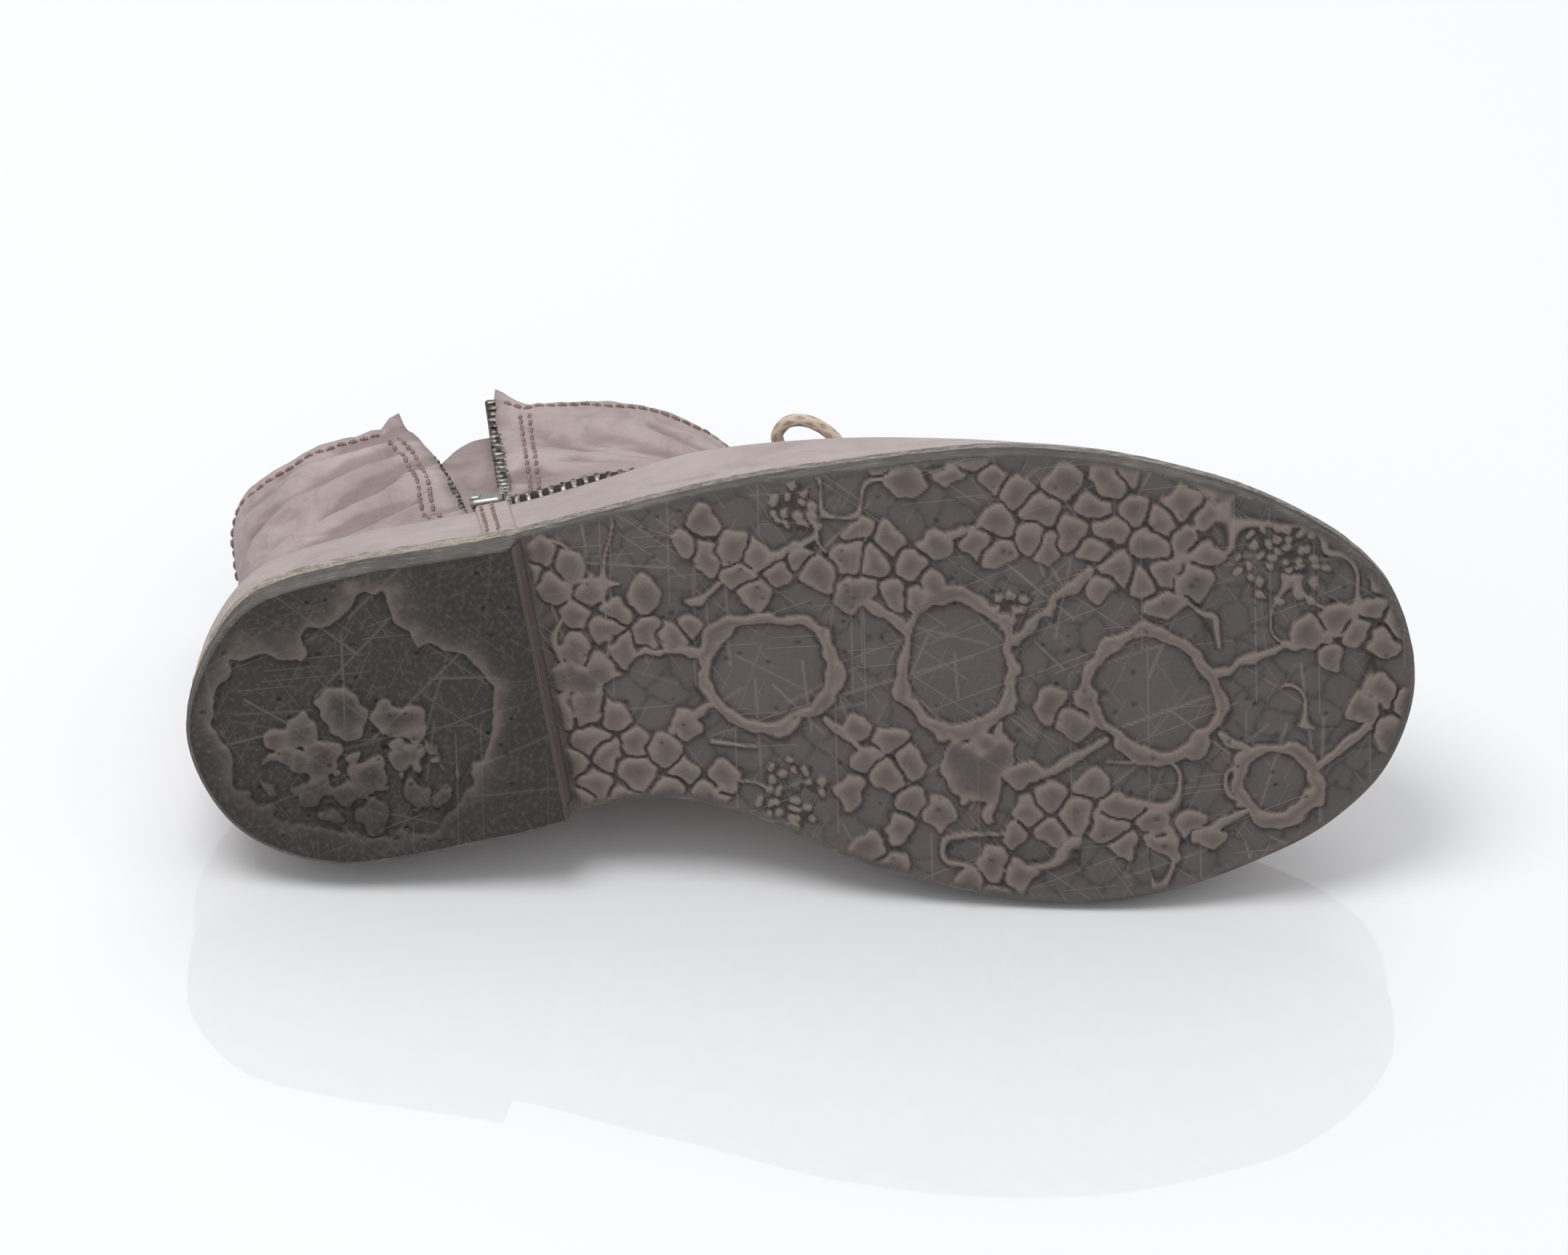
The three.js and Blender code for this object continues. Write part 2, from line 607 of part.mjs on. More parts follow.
// Tongue: a padded strip under the throat, sewn in under the vamp
function makeTongue() {
  const stations = [
    { number: THROAT_RING - 0.8, half: 1.7 * THROAT_HALF },
    { number: THROAT_RING + 0.4, half: 2 * THROAT_HALF },
    { number: THROAT_RING + 2, half: 2.1 * THROAT_HALF },
    { number: THROAT_RING + 3.5, half: 2.1 * THROAT_HALF },
    { number: COLLAR_RING, half: 1.8 * THROAT_HALF },
    { number: COLLAR_RING, half: 1.2 * THROAT_HALF, raise: 2 },
  ];
  return throatStrip(stations, -WALL - 2 * GAP - TONGUE, -WALL - 2 * GAP);
}

// Guard: the soft flap behind the open zip
function makeGuard() {
  const { rear, front, foot, top } = GUARD_SHAPE;
  const round = 0.05;
  const corners = [
    [rear, foot], [front, foot], [front, top - round], [front - 0.6 * round, top],
    [rear + 0.9 * round, top], [rear + 0.25 * round, top - 0.6 * round], [rear, top - 2 * round],
  ].map(([x, up]) => [x * LENGTH, up * SHAFT_HEIGHT]);
  const inside = skin(-WALL - 2 * GAP, -WALL - 2 * GAP - GUARD, BAND_RING - 2, COLLAR_RING);
  return toGeometry(inside.intersect(sidePrism(corners, SIDES_MEET, BALL_WIDTH)));
}

// Open rows of the outer zip, each beside its edge of the wall
function makeZipRow(edge, direction) {
  const top = 0.965;
  const rows = ZIP_EDGE.filter((row) => row.up < top);
  const last = ZIP_EDGE[rows.length];
  const share = (top - rows.at(-1).up) / (last.up - rows.at(-1).up);
  const topAt = THREE.MathUtils.lerp(rows.at(-1)[edge], last[edge], share);
  const ends = [...rows, { [edge]: topAt, up: top }];
  const foot = 0.42;
  const kept = ends.filter((row) => row.up > foot);
  kept.unshift({ [edge]: THREE.MathUtils.lerp(rows[0][edge], rows[1][edge], 0.7), up: foot });
  const near = kept.map((row) => [row[edge] * LENGTH + direction * GAP, row.up * SHAFT_HEIGHT]);
  const width = GAP + ROW_WIDTH;
  const far = kept.map((row) => [row[edge] * LENGTH + direction * width, row.up * SHAFT_HEIGHT]);
  const body = skin(-GAP, -GAP - ROW_DEPTH, BAND_RING - 1, COLLAR_RING);
  return toGeometry(body.intersect(sidePrism([...near, ...far.reverse()], SIDES_MEET, BALL_WIDTH)));
}

// Slider: a rounded body in the foot of the open zip, with its small bridge
const SLIDER = { wide: 7.6, long: 4.2, deep: 3.4, bridge: 1.6, up: 0.385, proud: 0.2 };

function zipEdgeAt(edge, up) {
  return LENGTH * between(ZIP_EDGE.map((row) => ({ at: row.up, value: row[edge] })), 'value', up);
}

// Ring number and turn of the outer wall at a place in the side view
function outerTurn(x, number) {
  let low = 0;
  let high = 0.5;
  for (let i = 0; i < 24; i += 1) {
    const middle = (low + high) / 2;
    if (upperPoint(middle, number).x < x) low = middle;
    else high = middle;
  }
  return (low + high) / 2;
}

function outerWall(x, up) {
  let low = 0;
  let high = COLLAR_RING;
  for (let i = 0; i < 24; i += 1) {
    const middle = (low + high) / 2;
    if (upperPoint(outerTurn(x, middle), middle).z < up) low = middle;
    else high = middle;
  }
  return upperPoint(outerTurn(x, low), low);
}

function makeSlider() {
  const x = (zipEdgeAt('rear', SLIDER.up) + zipEdgeAt('front', SLIDER.up)) / 2;
  const up = SLIDER.up * SHAFT_HEIGHT;
  const seat = outerWall(x, up);
  const body = new THREE.CylinderGeometry(SLIDER.deep / 2, SLIDER.deep / 2, SLIDER.wide, 12);
  body.rotateZ(Math.PI / 2);
  body.scale(1, 1, SLIDER.long / SLIDER.deep);
  body.translate(seat.x, seat.y - SLIDER.proud, up);
  const bridge = new THREE.BoxGeometry(SLIDER.bridge, SLIDER.bridge, SLIDER.long / 2);
  bridge.translate(seat.x - SLIDER.bridge / 2, seat.y - SLIDER.proud, up + SLIDER.long / 2);
  return toGeometry(toSolid(body).add(toSolid(bridge)));
}

// Toothed trim in the groove between band and lip, from strap to strap around the toe
function makeTrim() {
  const raises = [STEP_RUN + GAP, TRIM_WIDTH - GAP];
  const level = (distance) => (raise) => ({ raise, distance });
  const top = GAP + TRIM_DEPTH;
  const body = hollow(raises.map(level(top)), raises.toReversed().map(level(GAP)));
  return toGeometry(body.intersect(aheadOfStraps(2 * GAP)));
}

// Closed zip on the inner side, from its strap to the collar
function makeInnerChain() {
  const half = CHAIN_WIDTH / 2;
  const foot = CHAIN_FOOT.at * LENGTH;
  const top = CHAIN_TOP.at * LENGTH;
  const footUp = CHAIN_FOOT.up * SHAFT_HEIGHT;
  const topUp = CHAIN_TOP.up * SHAFT_HEIGHT;
  const body = skin(GAP + CHAIN_DEPTH, GAP, BAND_RING - 1, COLLAR_RING);
  return toGeometry(body.intersect(sidePrism([
    [foot - half, footUp], [foot + half, footUp], [top + half, topUp], [top - half, topUp],
  ], -BALL_WIDTH, SIDES_MEET)));
}

// Eyelet: a rim on the leather and a barrel through it
function makeEyelet(place) {
  const outer = EYELET_BORE + GAP;
  const profile = [
    [EYELET_BORE, -WALL], [outer, -WALL], [outer, GAP], [EYELET_R, GAP],
    [EYELET_R - 0.4, GAP + EYELET_RIM], [EYELET_BORE, GAP + EYELET_RIM], [EYELET_BORE, -WALL],
  ].map(([radius, height]) => new THREE.Vector2(radius, height));
  const { point, normal } = aroundNose(place.number, place.distance);
  return placeAlong(new THREE.LatheGeometry(profile, 8), point, normal);
}

// A round cord through points of the standing boot
function cord(points, steps, radius) {
  const curve = new THREE.CatmullRomCurve3(points, false, 'centripetal');
  const section = new THREE.Shape();
  const sides = 8;
  for (let i = 0; i < sides; i += 1) {
    const angle = (2 * Math.PI * i) / sides;
    const corner = [radius * Math.cos(angle), radius * Math.sin(angle)];
    if (i === 0) section.moveTo(...corner);
    else section.lineTo(...corner);
  }
  return new THREE.ExtrudeGeometry(section, { steps, extrudePath: curve, bevelEnabled: false });
}

// Crossing of the lace between two rows of eyelets: two runs over the throat, joined where they meet
const LACE_OVER = GAP + EYELET_RIM + GAP + LACE / 2;
const CROSS_TRIM = 1.9;

function makeCrossing(row) {
  const reach = THROAT_HALF + EYELET_SET;
  const from = throatRing(EYELET_SET + row * EYELET_PITCH + CROSS_TRIM);
  const to = throatRing(EYELET_SET + (row + 1) * EYELET_PITCH - CROSS_TRIM);
  const runs = [1, -1].map((side) => {
    const points = [];
    for (let i = 0; i <= 8; i += 1) {
      const share = i / 8;
      const number = THREE.MathUtils.lerp(from, to, share);
      const hump = Math.sin(Math.PI * share) * 0.2 * (1 + side);
      points.push(offNose(number, side * reach * (1 - 2 * share), LACE_OVER + hump));
    }
    return toSolid(cord(points, 7, LACE / 2));
  });
  return toGeometry(runs[0].add(runs[1]));
}

function makeFirstBar() {
  const reach = THROAT_HALF + EYELET_SET;
  const number = throatRing(EYELET_SET - CROSS_TRIM);
  const points = [];
  for (let i = 0; i <= 8; i += 1) {
    points.push(offNose(number, reach * (1 - i / 4), LACE_OVER));
  }
  return cord(points, 7, LACE / 2);
}

// Knot and bow: routes chosen by hand in x, out, up
const KNOT_AT = [135.5, -9.6, 101.5];
const LOOP_OUTER = [
  [135.7, -5, 101.3], [134.5, -1, 98.5], [132.3, 4, 96], [129, 9.5, 93], [127.3, 14, 90.8],
  [129.5, 17.6, 89.5], [134, 18.3, 88.5], [139.5, 15.5, 87.5], [143.5, 10, 87], [144.8, 4, 88.5],
  [143.8, -2, 92.5], [141.6, -6, 97], [140.2, -8.4, 99.6],
];
const LOOP_INNER = [
  [135.5, -14, 101], [134.5, -19, 98.5], [134.5, -25, 94.5], [136, -31, 91.5], [140, -34.5, 90.5],
  [144.5, -32.5, 91], [146.5, -26.5, 92.5], [145, -19, 95.5], [142, -13.6, 98.6],
  [139.8, -12.2, 99.8],
];
const END_OUTER = [
  [140.3, -10, 102.8], [145, -13, 103], [149.5, -18, 101.5], [152, -24, 100.5], [153.5, -29, 101],
  [156.5, -32, 103], [161, -32.2, 106],
];
const END_INNER = [
  [135.8, -10.6, 106], [138.5, -14.5, 109], [141, -20, 110], [142.5, -25.5, 109.5],
  [145, -29.3, 110.5], [150, -29.8, 113], [156, -29, 115.5],
];

function route(points) {
  return points.map(([x, out, up]) => at(x, out, up));
}

function makeKnot() {
  const knot = new THREE.SphereGeometry(0.5, 10, 8);
  knot.scale(...KNOT);
  const centre = at(...KNOT_AT);
  knot.translate(centre.x, centre.y, centre.z);
  return knot;
}

const standing = new THREE.Group();

function addPiece(name, geometry, look) {
  geometry.computeVertexNormals();
  const mesh = new THREE.Mesh(geometry, new THREE.MeshStandardMaterial(look));
  mesh.name = name;
  standing.add(mesh);
  return mesh;
}

const outsole = addPiece('outsole', makeOutsole(), rubber);
const midsole = addPiece('midsole', makeMidsole(), board);
addPiece('insole', makeInsole(), board);
const upper = addPiece('upper', makeUpper(), leather);
addPiece('tongue', makeTongue(), leather);
addPiece('zip_guard', makeGuard(), leather);
addPiece('zip_row_rear', makeZipRow('rear', 1), metal);
addPiece('zip_row_front', makeZipRow('front', -1), metal);
addPiece('zip_slider', makeSlider(), metal);
addPiece('trim_teeth', makeTrim(), metal);
addPiece('inner_zip', makeInnerChain(), metal);
for (const place of eyeletPlaces()) {
  const side = place.side > 0 ? 'outer' : 'inner';
  addPiece(`eyelet_${side}_${place.row + 1}`, makeEyelet(place), metal);
}
addPiece('lace_bar', makeFirstBar(), cotton);
for (let row = 0; row + 1 < EYELET_ROWS; row += 1) {
  addPiece(`lace_crossing_${row + 1}`, makeCrossing(row), cotton);
}
addPiece('lace_knot', makeKnot(), cotton);
addPiece('lace_loop_outer', cord(route(LOOP_OUTER), 18, LACE / 2), cotton);
addPiece('lace_loop_inner', cord(route(LOOP_INNER), 16, LACE / 2), cotton);
addPiece('lace_end_outer', cord(route(END_OUTER), 9, LACE / 2), cotton);
addPiece('lace_end_inner', cord(route(END_INNER), 9, LACE / 2), cotton);

// Direction of the floor in the standing frame: the boot settles on the edge of the forefoot, the
// counter and the inner wall of the collar
function floorDirection() {
  const points = [outsole, midsole, upper].flatMap((mesh) => {
    const positions = mesh.geometry.attributes.position;
    return Array.from({ length: positions.count }, (_, i) => (
      new THREE.Vector3().fromBufferAttribute(positions, i)));
  });
  const regions = [
    points.filter((point) => point.x > LENGTH / 2 && point.z < SHAFT_HEIGHT / 2),
    points.filter((point) => point.x < 0.4 * LENGTH && point.z < 0.55 * SHAFT_HEIGHT),
    points.filter((point) => point.z > 0.75 * SHAFT_HEIGHT),
  ];
  let down = new THREE.Vector3(0, 1, 0.3).normalize();
  for (let i = 0; i < 8; i += 1) {
    const feet = regions.map((region) => region.reduce((best, point) => (
      point.dot(down) > best.dot(down) ? point : best)));
    const plane = new THREE.Plane().setFromCoplanarPoints(...feet);
    down = plane.normal.dot(down) > 0 ? plane.normal.clone() : plane.normal.clone().negate();
  }
  return down;
}

const down = floorDirection();
const ahead = new THREE.Vector3(1, 0, 0).addScaledVector(down, -down.x).normalize();
const away = new THREE.Vector3().crossVectors(down.clone().negate(), ahead);
const layDown = new THREE.Matrix4().makeBasis(ahead, away, down.clone().negate()).transpose();
standing.applyMatrix4(layDown);

const boot = new THREE.Group();
boot.add(standing);
boot.updateMatrixWorld(true);
const cordNames = ['lace_knot', 'lace_loop_outer', 'lace_loop_inner', 'lace_end_outer', 'lace_end_inner'];
const box = new THREE.Box3();
standing.children.filter((mesh) => !cordNames.includes(mesh.name)).forEach((mesh) => {
  box.expandByObject(mesh, true);
});
const middle = box.getCenter(new THREE.Vector3());
boot.position.set(-middle.x, -middle.y, -box.min.z);

export default boot;
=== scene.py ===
import json
import math

import bmesh
import bpy
import numpy as np
from mathutils import Matrix, Vector


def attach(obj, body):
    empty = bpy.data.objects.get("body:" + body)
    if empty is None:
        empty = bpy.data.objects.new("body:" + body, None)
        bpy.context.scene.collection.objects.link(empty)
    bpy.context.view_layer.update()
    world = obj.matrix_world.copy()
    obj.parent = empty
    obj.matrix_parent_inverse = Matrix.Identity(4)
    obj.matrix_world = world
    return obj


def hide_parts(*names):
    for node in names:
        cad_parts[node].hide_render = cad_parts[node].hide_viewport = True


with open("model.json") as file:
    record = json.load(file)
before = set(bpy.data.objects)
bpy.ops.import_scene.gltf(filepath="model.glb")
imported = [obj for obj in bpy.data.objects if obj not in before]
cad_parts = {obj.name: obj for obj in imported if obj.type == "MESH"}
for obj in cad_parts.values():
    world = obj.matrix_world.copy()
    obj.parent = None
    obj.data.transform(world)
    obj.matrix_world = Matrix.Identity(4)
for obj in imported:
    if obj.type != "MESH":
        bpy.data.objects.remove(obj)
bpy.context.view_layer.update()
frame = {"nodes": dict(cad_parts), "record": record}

bpy.ops.object.select_all(action="DESELECT")

# Camera, floor and light. The boot lies on its inner side and shows its sole. A long lens looks
# down on it at 35 degrees, over a pale glossy floor, under soft light from above.

# The boot is measured standing, in millimetres: x from heel to toe, out towards the outer side and
# up from the tread. The two flat spots of the tread say where that is in this frame.
HEEL_SPOT, BALL_SPOT = (40, -22), (185, -10)


def spot(name):
    mount = next(m for m in frame["record"]["mounts"] if m["name"] == name)
    return np.array(mount["pos_m"], float), np.array(mount["axis"], float)


def standing_axes():
    heel, axis = spot("heel_tread")
    ball, _ = spot("ball_tread")
    up = -axis / np.linalg.norm(axis)
    line = ball - heel
    line -= up * line.dot(up)
    line /= np.linalg.norm(line)
    across = np.cross(up, line)
    run = np.array(BALL_SPOT, float) - HEEL_SPOT
    run /= np.linalg.norm(run)
    forward = run[0] * line + run[1] * across
    inward = run[0] * across - run[1] * line
    start = heel - (HEEL_SPOT[0] * forward - HEEL_SPOT[1] * inward) / 1000
    return start, forward, inward, up


START, FORWARD, INWARD, UPWARD = standing_axes()


def laid(x, out, up):
    """Points of the lying boot, in metres, from points of the standing one."""
    x, out, up = np.broadcast_arrays(x, out, up)
    return START + (x[..., None] * FORWARD - out[..., None] * INWARD + up[..., None] * UPWARD) / 1000


CAMERA_UP = 35.1  # degrees above the floor
CAMERA_ROLL = 1.5
FRAME_WIDE = 0.3413  # metres across the picture at the sole
LENS = 330

aim = Vector(laid(130, 0, 0))
lens = bpy.data.cameras.new("camera")
lens.lens = LENS
lens.sensor_width = 36
lens.clip_end = 30
eye = bpy.data.objects.new("camera", lens)
bpy.context.collection.objects.link(eye)
turn = Matrix.Rotation(math.radians(90 - CAMERA_UP), 4, "X") @ Matrix.Rotation(
    math.radians(CAMERA_ROLL), 4, "Z")
eye.matrix_world = Matrix.Translation(aim) @ turn @ Matrix.Translation(
    (0, 0, LENS * FRAME_WIDE / 36))
bpy.context.scene.camera = eye
bpy.context.scene.view_settings.view_transform = "Standard"


class Value:
    """A socket that takes part in Python expressions."""

    def __init__(self, shader, socket):
        self.shader = shader
        self.socket = socket

    def math(self, operation, *others):
        values = dict(enumerate((self, *others)))
        return self.shader.node("ShaderNodeMath", {"operation": operation}, values)

    def __add__(self, other):
        return self.math("ADD", other)

    def __sub__(self, other):
        return self.math("SUBTRACT", other)

    def __rsub__(self, other):
        return self.shader.node("ShaderNodeMath", {"operation": "SUBTRACT"}, {0: other, 1: self})

    def __mul__(self, other):
        return self.math("MULTIPLY", other)

    __radd__ = __add__
    __rmul__ = __mul__

    def between(self, low, high):
        return self.shader.node("ShaderNodeMapRange", {"interpolation_type": "SMOOTHSTEP"},
                                {"Value": self, "From Min": low, "From Max": high})


class Finish:
    """A material under construction, with its nodes made by one method."""

    def __init__(self, name):
        self.material = bpy.data.materials.new(name)
        self.material.use_nodes = True
        self.tree = self.material.node_tree
        self.surface = self.tree.nodes["Principled BSDF"]

    def node(self, kind, settings=None, inputs=None, output=0):
        made = self.tree.nodes.new(kind)
        for key, value in (settings or {}).items():
            if key == "stops":
                ramp = made.color_ramp
                while len(ramp.elements) < len(value):
                    ramp.elements.new(0.5)
                for element, (place, colour) in zip(ramp.elements, value):
                    element.position = place
                    element.color = (*colour, 1)
            else:
                setattr(made, key, value)
        for key, value in (inputs or {}).items():
            if isinstance(value, Value):
                self.tree.links.new(value.socket, made.inputs[key])
            else:
                made.inputs[key].default_value = value
        return Value(self, made.outputs[output])

    def place(self):
        return self.node("ShaderNodeTexCoord", output="Object")

    def noise(self, scale, detail=3.0, roughness=0.5, where=None, output=0, distortion=0.0):
        return self.node("ShaderNodeTexNoise", {}, {
            "Vector": where or self.place(), "Scale": scale, "Detail": detail,
            "Roughness": roughness, "Distortion": distortion}, output)

    def stretched(self, scale, angle=(0, 0, 0)):
        return self.node("ShaderNodeMapping", {}, {
            "Vector": self.place(), "Scale": scale, "Rotation": angle})

    def attribute(self, name, output="Fac"):
        return self.node("ShaderNodeAttribute", {"attribute_name": name}, {}, output)

    def mix(self, share, first, second, blend="MIX"):
        return self.node("ShaderNodeMix", {"data_type": "RGBA", "blend_type": blend},
                         {0: share, 6: first, 7: second}, 2)

    def bump(self, height, distance, strength=1.0, under=None):
        inputs = {"Height": height, "Distance": distance, "Strength": strength}
        if under:
            inputs["Normal"] = under
        return self.node("ShaderNodeBump", {}, inputs)

    def end(self, **inputs):
        for key, value in inputs.items():
            socket = self.surface.inputs[key.replace("_", " ")]
            if isinstance(value, Value):
                self.tree.links.new(value.socket, socket)
            else:
                socket.default_value = value
        return self.material


def colour(red, green, blue):
    """Screen colour in 0 to 255 as a linear colour."""
    def linear(part):
        part /= 255
        return part / 12.92 if part <= 0.04045 else ((part + 0.055) / 1.055) ** 2.4
    return (linear(red), linear(green), linear(blue), 1)


bpy.ops.mesh.primitive_plane_add(size=6, location=(0, 0.6, 0))
floor = bpy.context.object
floor.name = "floor"
glossy = Finish("floor_gloss")
floor.data.materials.append(glossy.end(
    Base_Color=colour(243, 244, 246), Roughness=0.03, IOR=2.0))
bpy.ops.object.transform_apply(location=True, rotation=True, scale=True)


def soft_light(name, power, size, place, target):
    lamp = bpy.data.lights.new(name, "AREA")
    lamp.shape = "DISK"
    lamp.energy = power
    lamp.size = size
    holder = bpy.data.objects.new(name, lamp)
    bpy.context.collection.objects.link(holder)
    holder.location = place
    holder.rotation_euler = (Vector(target) - Vector(place)).to_track_quat("-Z", "Y").to_euler()
    return holder


soft_light("light_above", 17, 1.1, (-0.5, -0.3, 1.8), (0, 0, 0))
behind = soft_light("light_behind", 5, 1.2, (0.3, 1.2, 1.5), (0, 0, 0.03))
behind.visible_glossy = False
world = bpy.data.worlds.new("room")
world.use_nodes = True
world.node_tree.nodes["Background"].inputs["Color"].default_value = (0.98, 0.99, 1, 1)
world.node_tree.nodes["Background"].inputs["Strength"].default_value = 0.66
bpy.context.scene.world = world

# Lace: round braided cotton, tied in a bow above the collar. Its two loops and two ends are free
# cords from the knot, each end bound in a metal tag. The runs over the throat are made with it.
LACE, LACE_STEP = 2.8, 0.3
KNOT_AT = (135.5, -9.6, 101.5)
FLOOR_GAP = 0.0002  # metres
LOOP_OUTER = [
    (135.7, -5, 101.3), (134.5, -1, 98.5), (132.3, 4, 96), (129, 9.5, 93), (127.3, 14, 90.8),
    (129.5, 17.6, 89.5), (134, 18.3, 88.5), (139.5, 15.5, 87.5), (143.5, 10, 87), (144.8, 4, 88.5),
    (143.8, -2, 92.5), (141.6, -6, 97), (140.2, -8.4, 99.6)]
LOOP_INNER = [
    (135.5, -14, 101), (134.5, -19, 98.5), (134.5, -25, 94.5), (136, -31, 91.5), (140, -34.5, 90.5),
    (144.5, -32.5, 91), (146.5, -26.5, 92.5), (145, -19, 95.5), (142, -13.6, 98.6),
    (139.8, -12.2, 99.8)]
END_OUTER = [
    (140.3, -10, 102.8), (145, -13, 103), (149.5, -18, 101.5), (152, -24, 100.5), (153.5, -29, 101),
    (156.5, -32, 103), (161, -32.2, 106)]
END_INNER = [
    (135.8, -10.6, 106), (138.5, -14.5, 109), (141, -20, 110), (142.5, -25.5, 109.5),
    (145, -29.3, 110.5), (150, -29.8, 113), (156, -29, 115.5)]


def curve_between(a, b, c, d, share):
    """Points on a smooth curve from b to c, with a before them and d after."""
    ab, bc, cd = (np.linalg.norm(q - p, axis=-1, keepdims=True) ** 0.5
                  for p, q in ((a, b), (b, c), (c, d)))
    leave = ((b - a) / ab - (c - a) / (ab + bc) + (c - b) / bc) * bc
    meet = ((c - b) / bc - (d - b) / (bc + cd) + (d - c) / cd) * bc
    return (b + leave * share + (3 * (c - b) - 2 * leave - meet) * share ** 2
            + (leave + meet - 2 * (c - b)) * share ** 3)


def run_along(points):
    """Length of a line up to each of its points."""
    return np.concatenate([[0], np.cumsum(np.linalg.norm(np.diff(points, axis=0), axis=1))])


def at_spots(spots, run, values):
    return np.stack([np.interp(spots, run, values[:, k]) for k in range(3)], -1)


def smooth_route(points):
    """A curve through points, as close points at an even step, in millimetres."""
    points = np.array(points, float)
    ends = np.vstack([2 * points[0] - points[1], points, 2 * points[-1] - points[-2]])
    share = np.linspace(0, 1, 40, endpoint=False)[:, None]
    parts = [curve_between(*four, share) for four in zip(ends, ends[1:], ends[2:], ends[3:])]
    fine = np.vstack([*parts, points[-1:]])
    run = run_along(fine)
    return at_spots(np.linspace(0, run[-1], max(4, int(run[-1] / LACE_STEP))), run, fine)


def frames_along(points):
    """Two directions square to a line of points, carried along it without twist."""
    along = np.gradient(points, axis=0)
    along /= np.linalg.norm(along, axis=1, keepdims=True)
    first = np.cross(along[0], (0.31, 0.22, 0.93))
    first /= np.linalg.norm(first)
    sides = []
    for direction in along:
        first = first - direction * first.dot(direction)
        first /= np.linalg.norm(first)
        sides.append(first)
    sides = np.array(sides)
    return sides, np.cross(along, sides)


def braid(points, radius, around=28, lay=5.2, strands=8):
    """Points, faces and strand heights of a braided cord along a line in millimetres."""
    side, other = frames_along(points)
    run = run_along(points)[:, None]
    angle = np.linspace(0, 2 * np.pi, around, endpoint=False)[None, :]
    one = np.abs(np.cos(strands / 4 * angle + np.pi * run / lay))
    two = np.abs(np.cos(strands / 4 * angle - np.pi * run / lay))
    over = np.maximum(one, two) ** 1.4
    reach = radius * (0.93 + 0.1 * over)
    shell = (points[:, None] + side[:, None] * (np.cos(angle) * reach)[..., None]
             + other[:, None] * (np.sin(angle) * reach)[..., None])
    count = len(points)
    i, j = np.meshgrid(np.arange(count - 1), np.arange(around), indexing="ij")
    k = (j + 1) % around
    quads = np.stack([i * around + j, i * around + k, (i + 1) * around + k, (i + 1) * around + j], -1)
    faces = quads.reshape(-1, 4).tolist()
    faces += [list(range(around))[::-1], list(range((count - 1) * around, count * around))]
    return shell.reshape(-1, 3), faces, over.reshape(-1)


cotton = Finish("lace_cotton")
over = cotton.attribute("over")
fibre = cotton.noise(1900, 3, 0.7)
soil = cotton.noise(70, 4, 0.6)
# painted shade: the low gaps between the braid's strands are coloured darker and the raised strands
# lighter
tone = cotton.mix(over.between(0.4, 0.9), colour(164, 144, 126), colour(206, 190, 173))
tone = cotton.mix(fibre.between(0.3, 0.75) * 0.5, tone, colour(222, 208, 192))
tone = cotton.mix(soil.between(0.5, 0.8) * 0.4, tone, colour(165, 146, 130))
lace_cotton = cotton.end(Base_Color=tone, Roughness=0.95,
                         Normal=cotton.bump(fibre + over * 0.6, 0.0003, 0.9))


def build(name, points, faces, finish, values=None, soft=True):
    """A piece of the root body from points in metres. A soft one lies flat on the floor."""
    mesh = bpy.data.meshes.new(name)
    points = np.array(points, float).reshape(-1, 3)
    if soft:
        points[:, 2] = np.maximum(points[:, 2], FLOOR_GAP)
    mesh.from_pydata(points.tolist(), [], faces)
    for key, column in (values or {}).items():
        mesh.attributes.new(key, "FLOAT", "POINT").data.foreach_set(
            "value", np.asarray(column, np.float32).ravel())
    mesh.polygons.foreach_set("use_smooth", [True] * len(mesh.polygons))
    piece = bpy.data.objects.new(name, mesh)
    bpy.context.collection.objects.link(piece)
    mesh.materials.append(finish)
    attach(piece, "root")
    return piece


def recalculate(piece):
    shape = bmesh.new()
    shape.from_mesh(piece.data)
    bmesh.ops.recalc_face_normals(shape, faces=shape.faces)
    shape.to_mesh(piece.data)
    shape.free()


def lace_piece(name, lines):
    shells, faces, overs, start = [], [], [], 0
    for line in lines:
        shell, quads, height = braid(line, LACE / 2)
        faces += [[start + k for k in face] for face in quads]
        start += len(shell)
        shells.append(shell)
        overs.append(height)
    piece = build(name, laid(*np.vstack(shells).T), faces, lace_cotton,
                  {"over": np.concatenate(overs)})
    recalculate(piece)
    return piece


def knot_line(turns, wide, tall, deep, lean, count=90):
    """A closed wrap of lace about the middle of the knot."""
    angle = np.linspace(0, 2 * np.pi * turns, count)
    x = KNOT_AT[0] + wide * np.cos(angle) + lean * np.sin(angle)
    out = KNOT_AT[1] + deep * np.sin(angle)
    up = KNOT_AT[2] + tall * np.sin(angle + 0.9) + lean * np.cos(angle) * 0.5
    return np.stack([x, out, up], -1)


def into_knot(end):
    """The short run of lace between the middle of the knot and the end of a free cord."""
    middle, end = np.array(KNOT_AT), np.array(end, float)
    return smooth_route([middle, middle * 0.5 + end * 0.5, end])


lace_knot = lace_piece("lace_knot_wrap", [
    *(into_knot(route[end]) for route in (LOOP_OUTER, LOOP_INNER) for end in (0, -1)),
    into_knot(END_OUTER[0]), into_knot(END_INNER[0]),
    knot_line(1, 2.4, 2.1, 1.6, 0.8), knot_line(1, 1.5, 2.3, 2.5, -0.9),
    smooth_route([(132.6, -7.2, 100.6), (134.6, -9.0, 103.8), (137.4, -10.4, 103.6),
                  (138.6, -12.2, 100.4)])])
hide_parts("lace_knot")

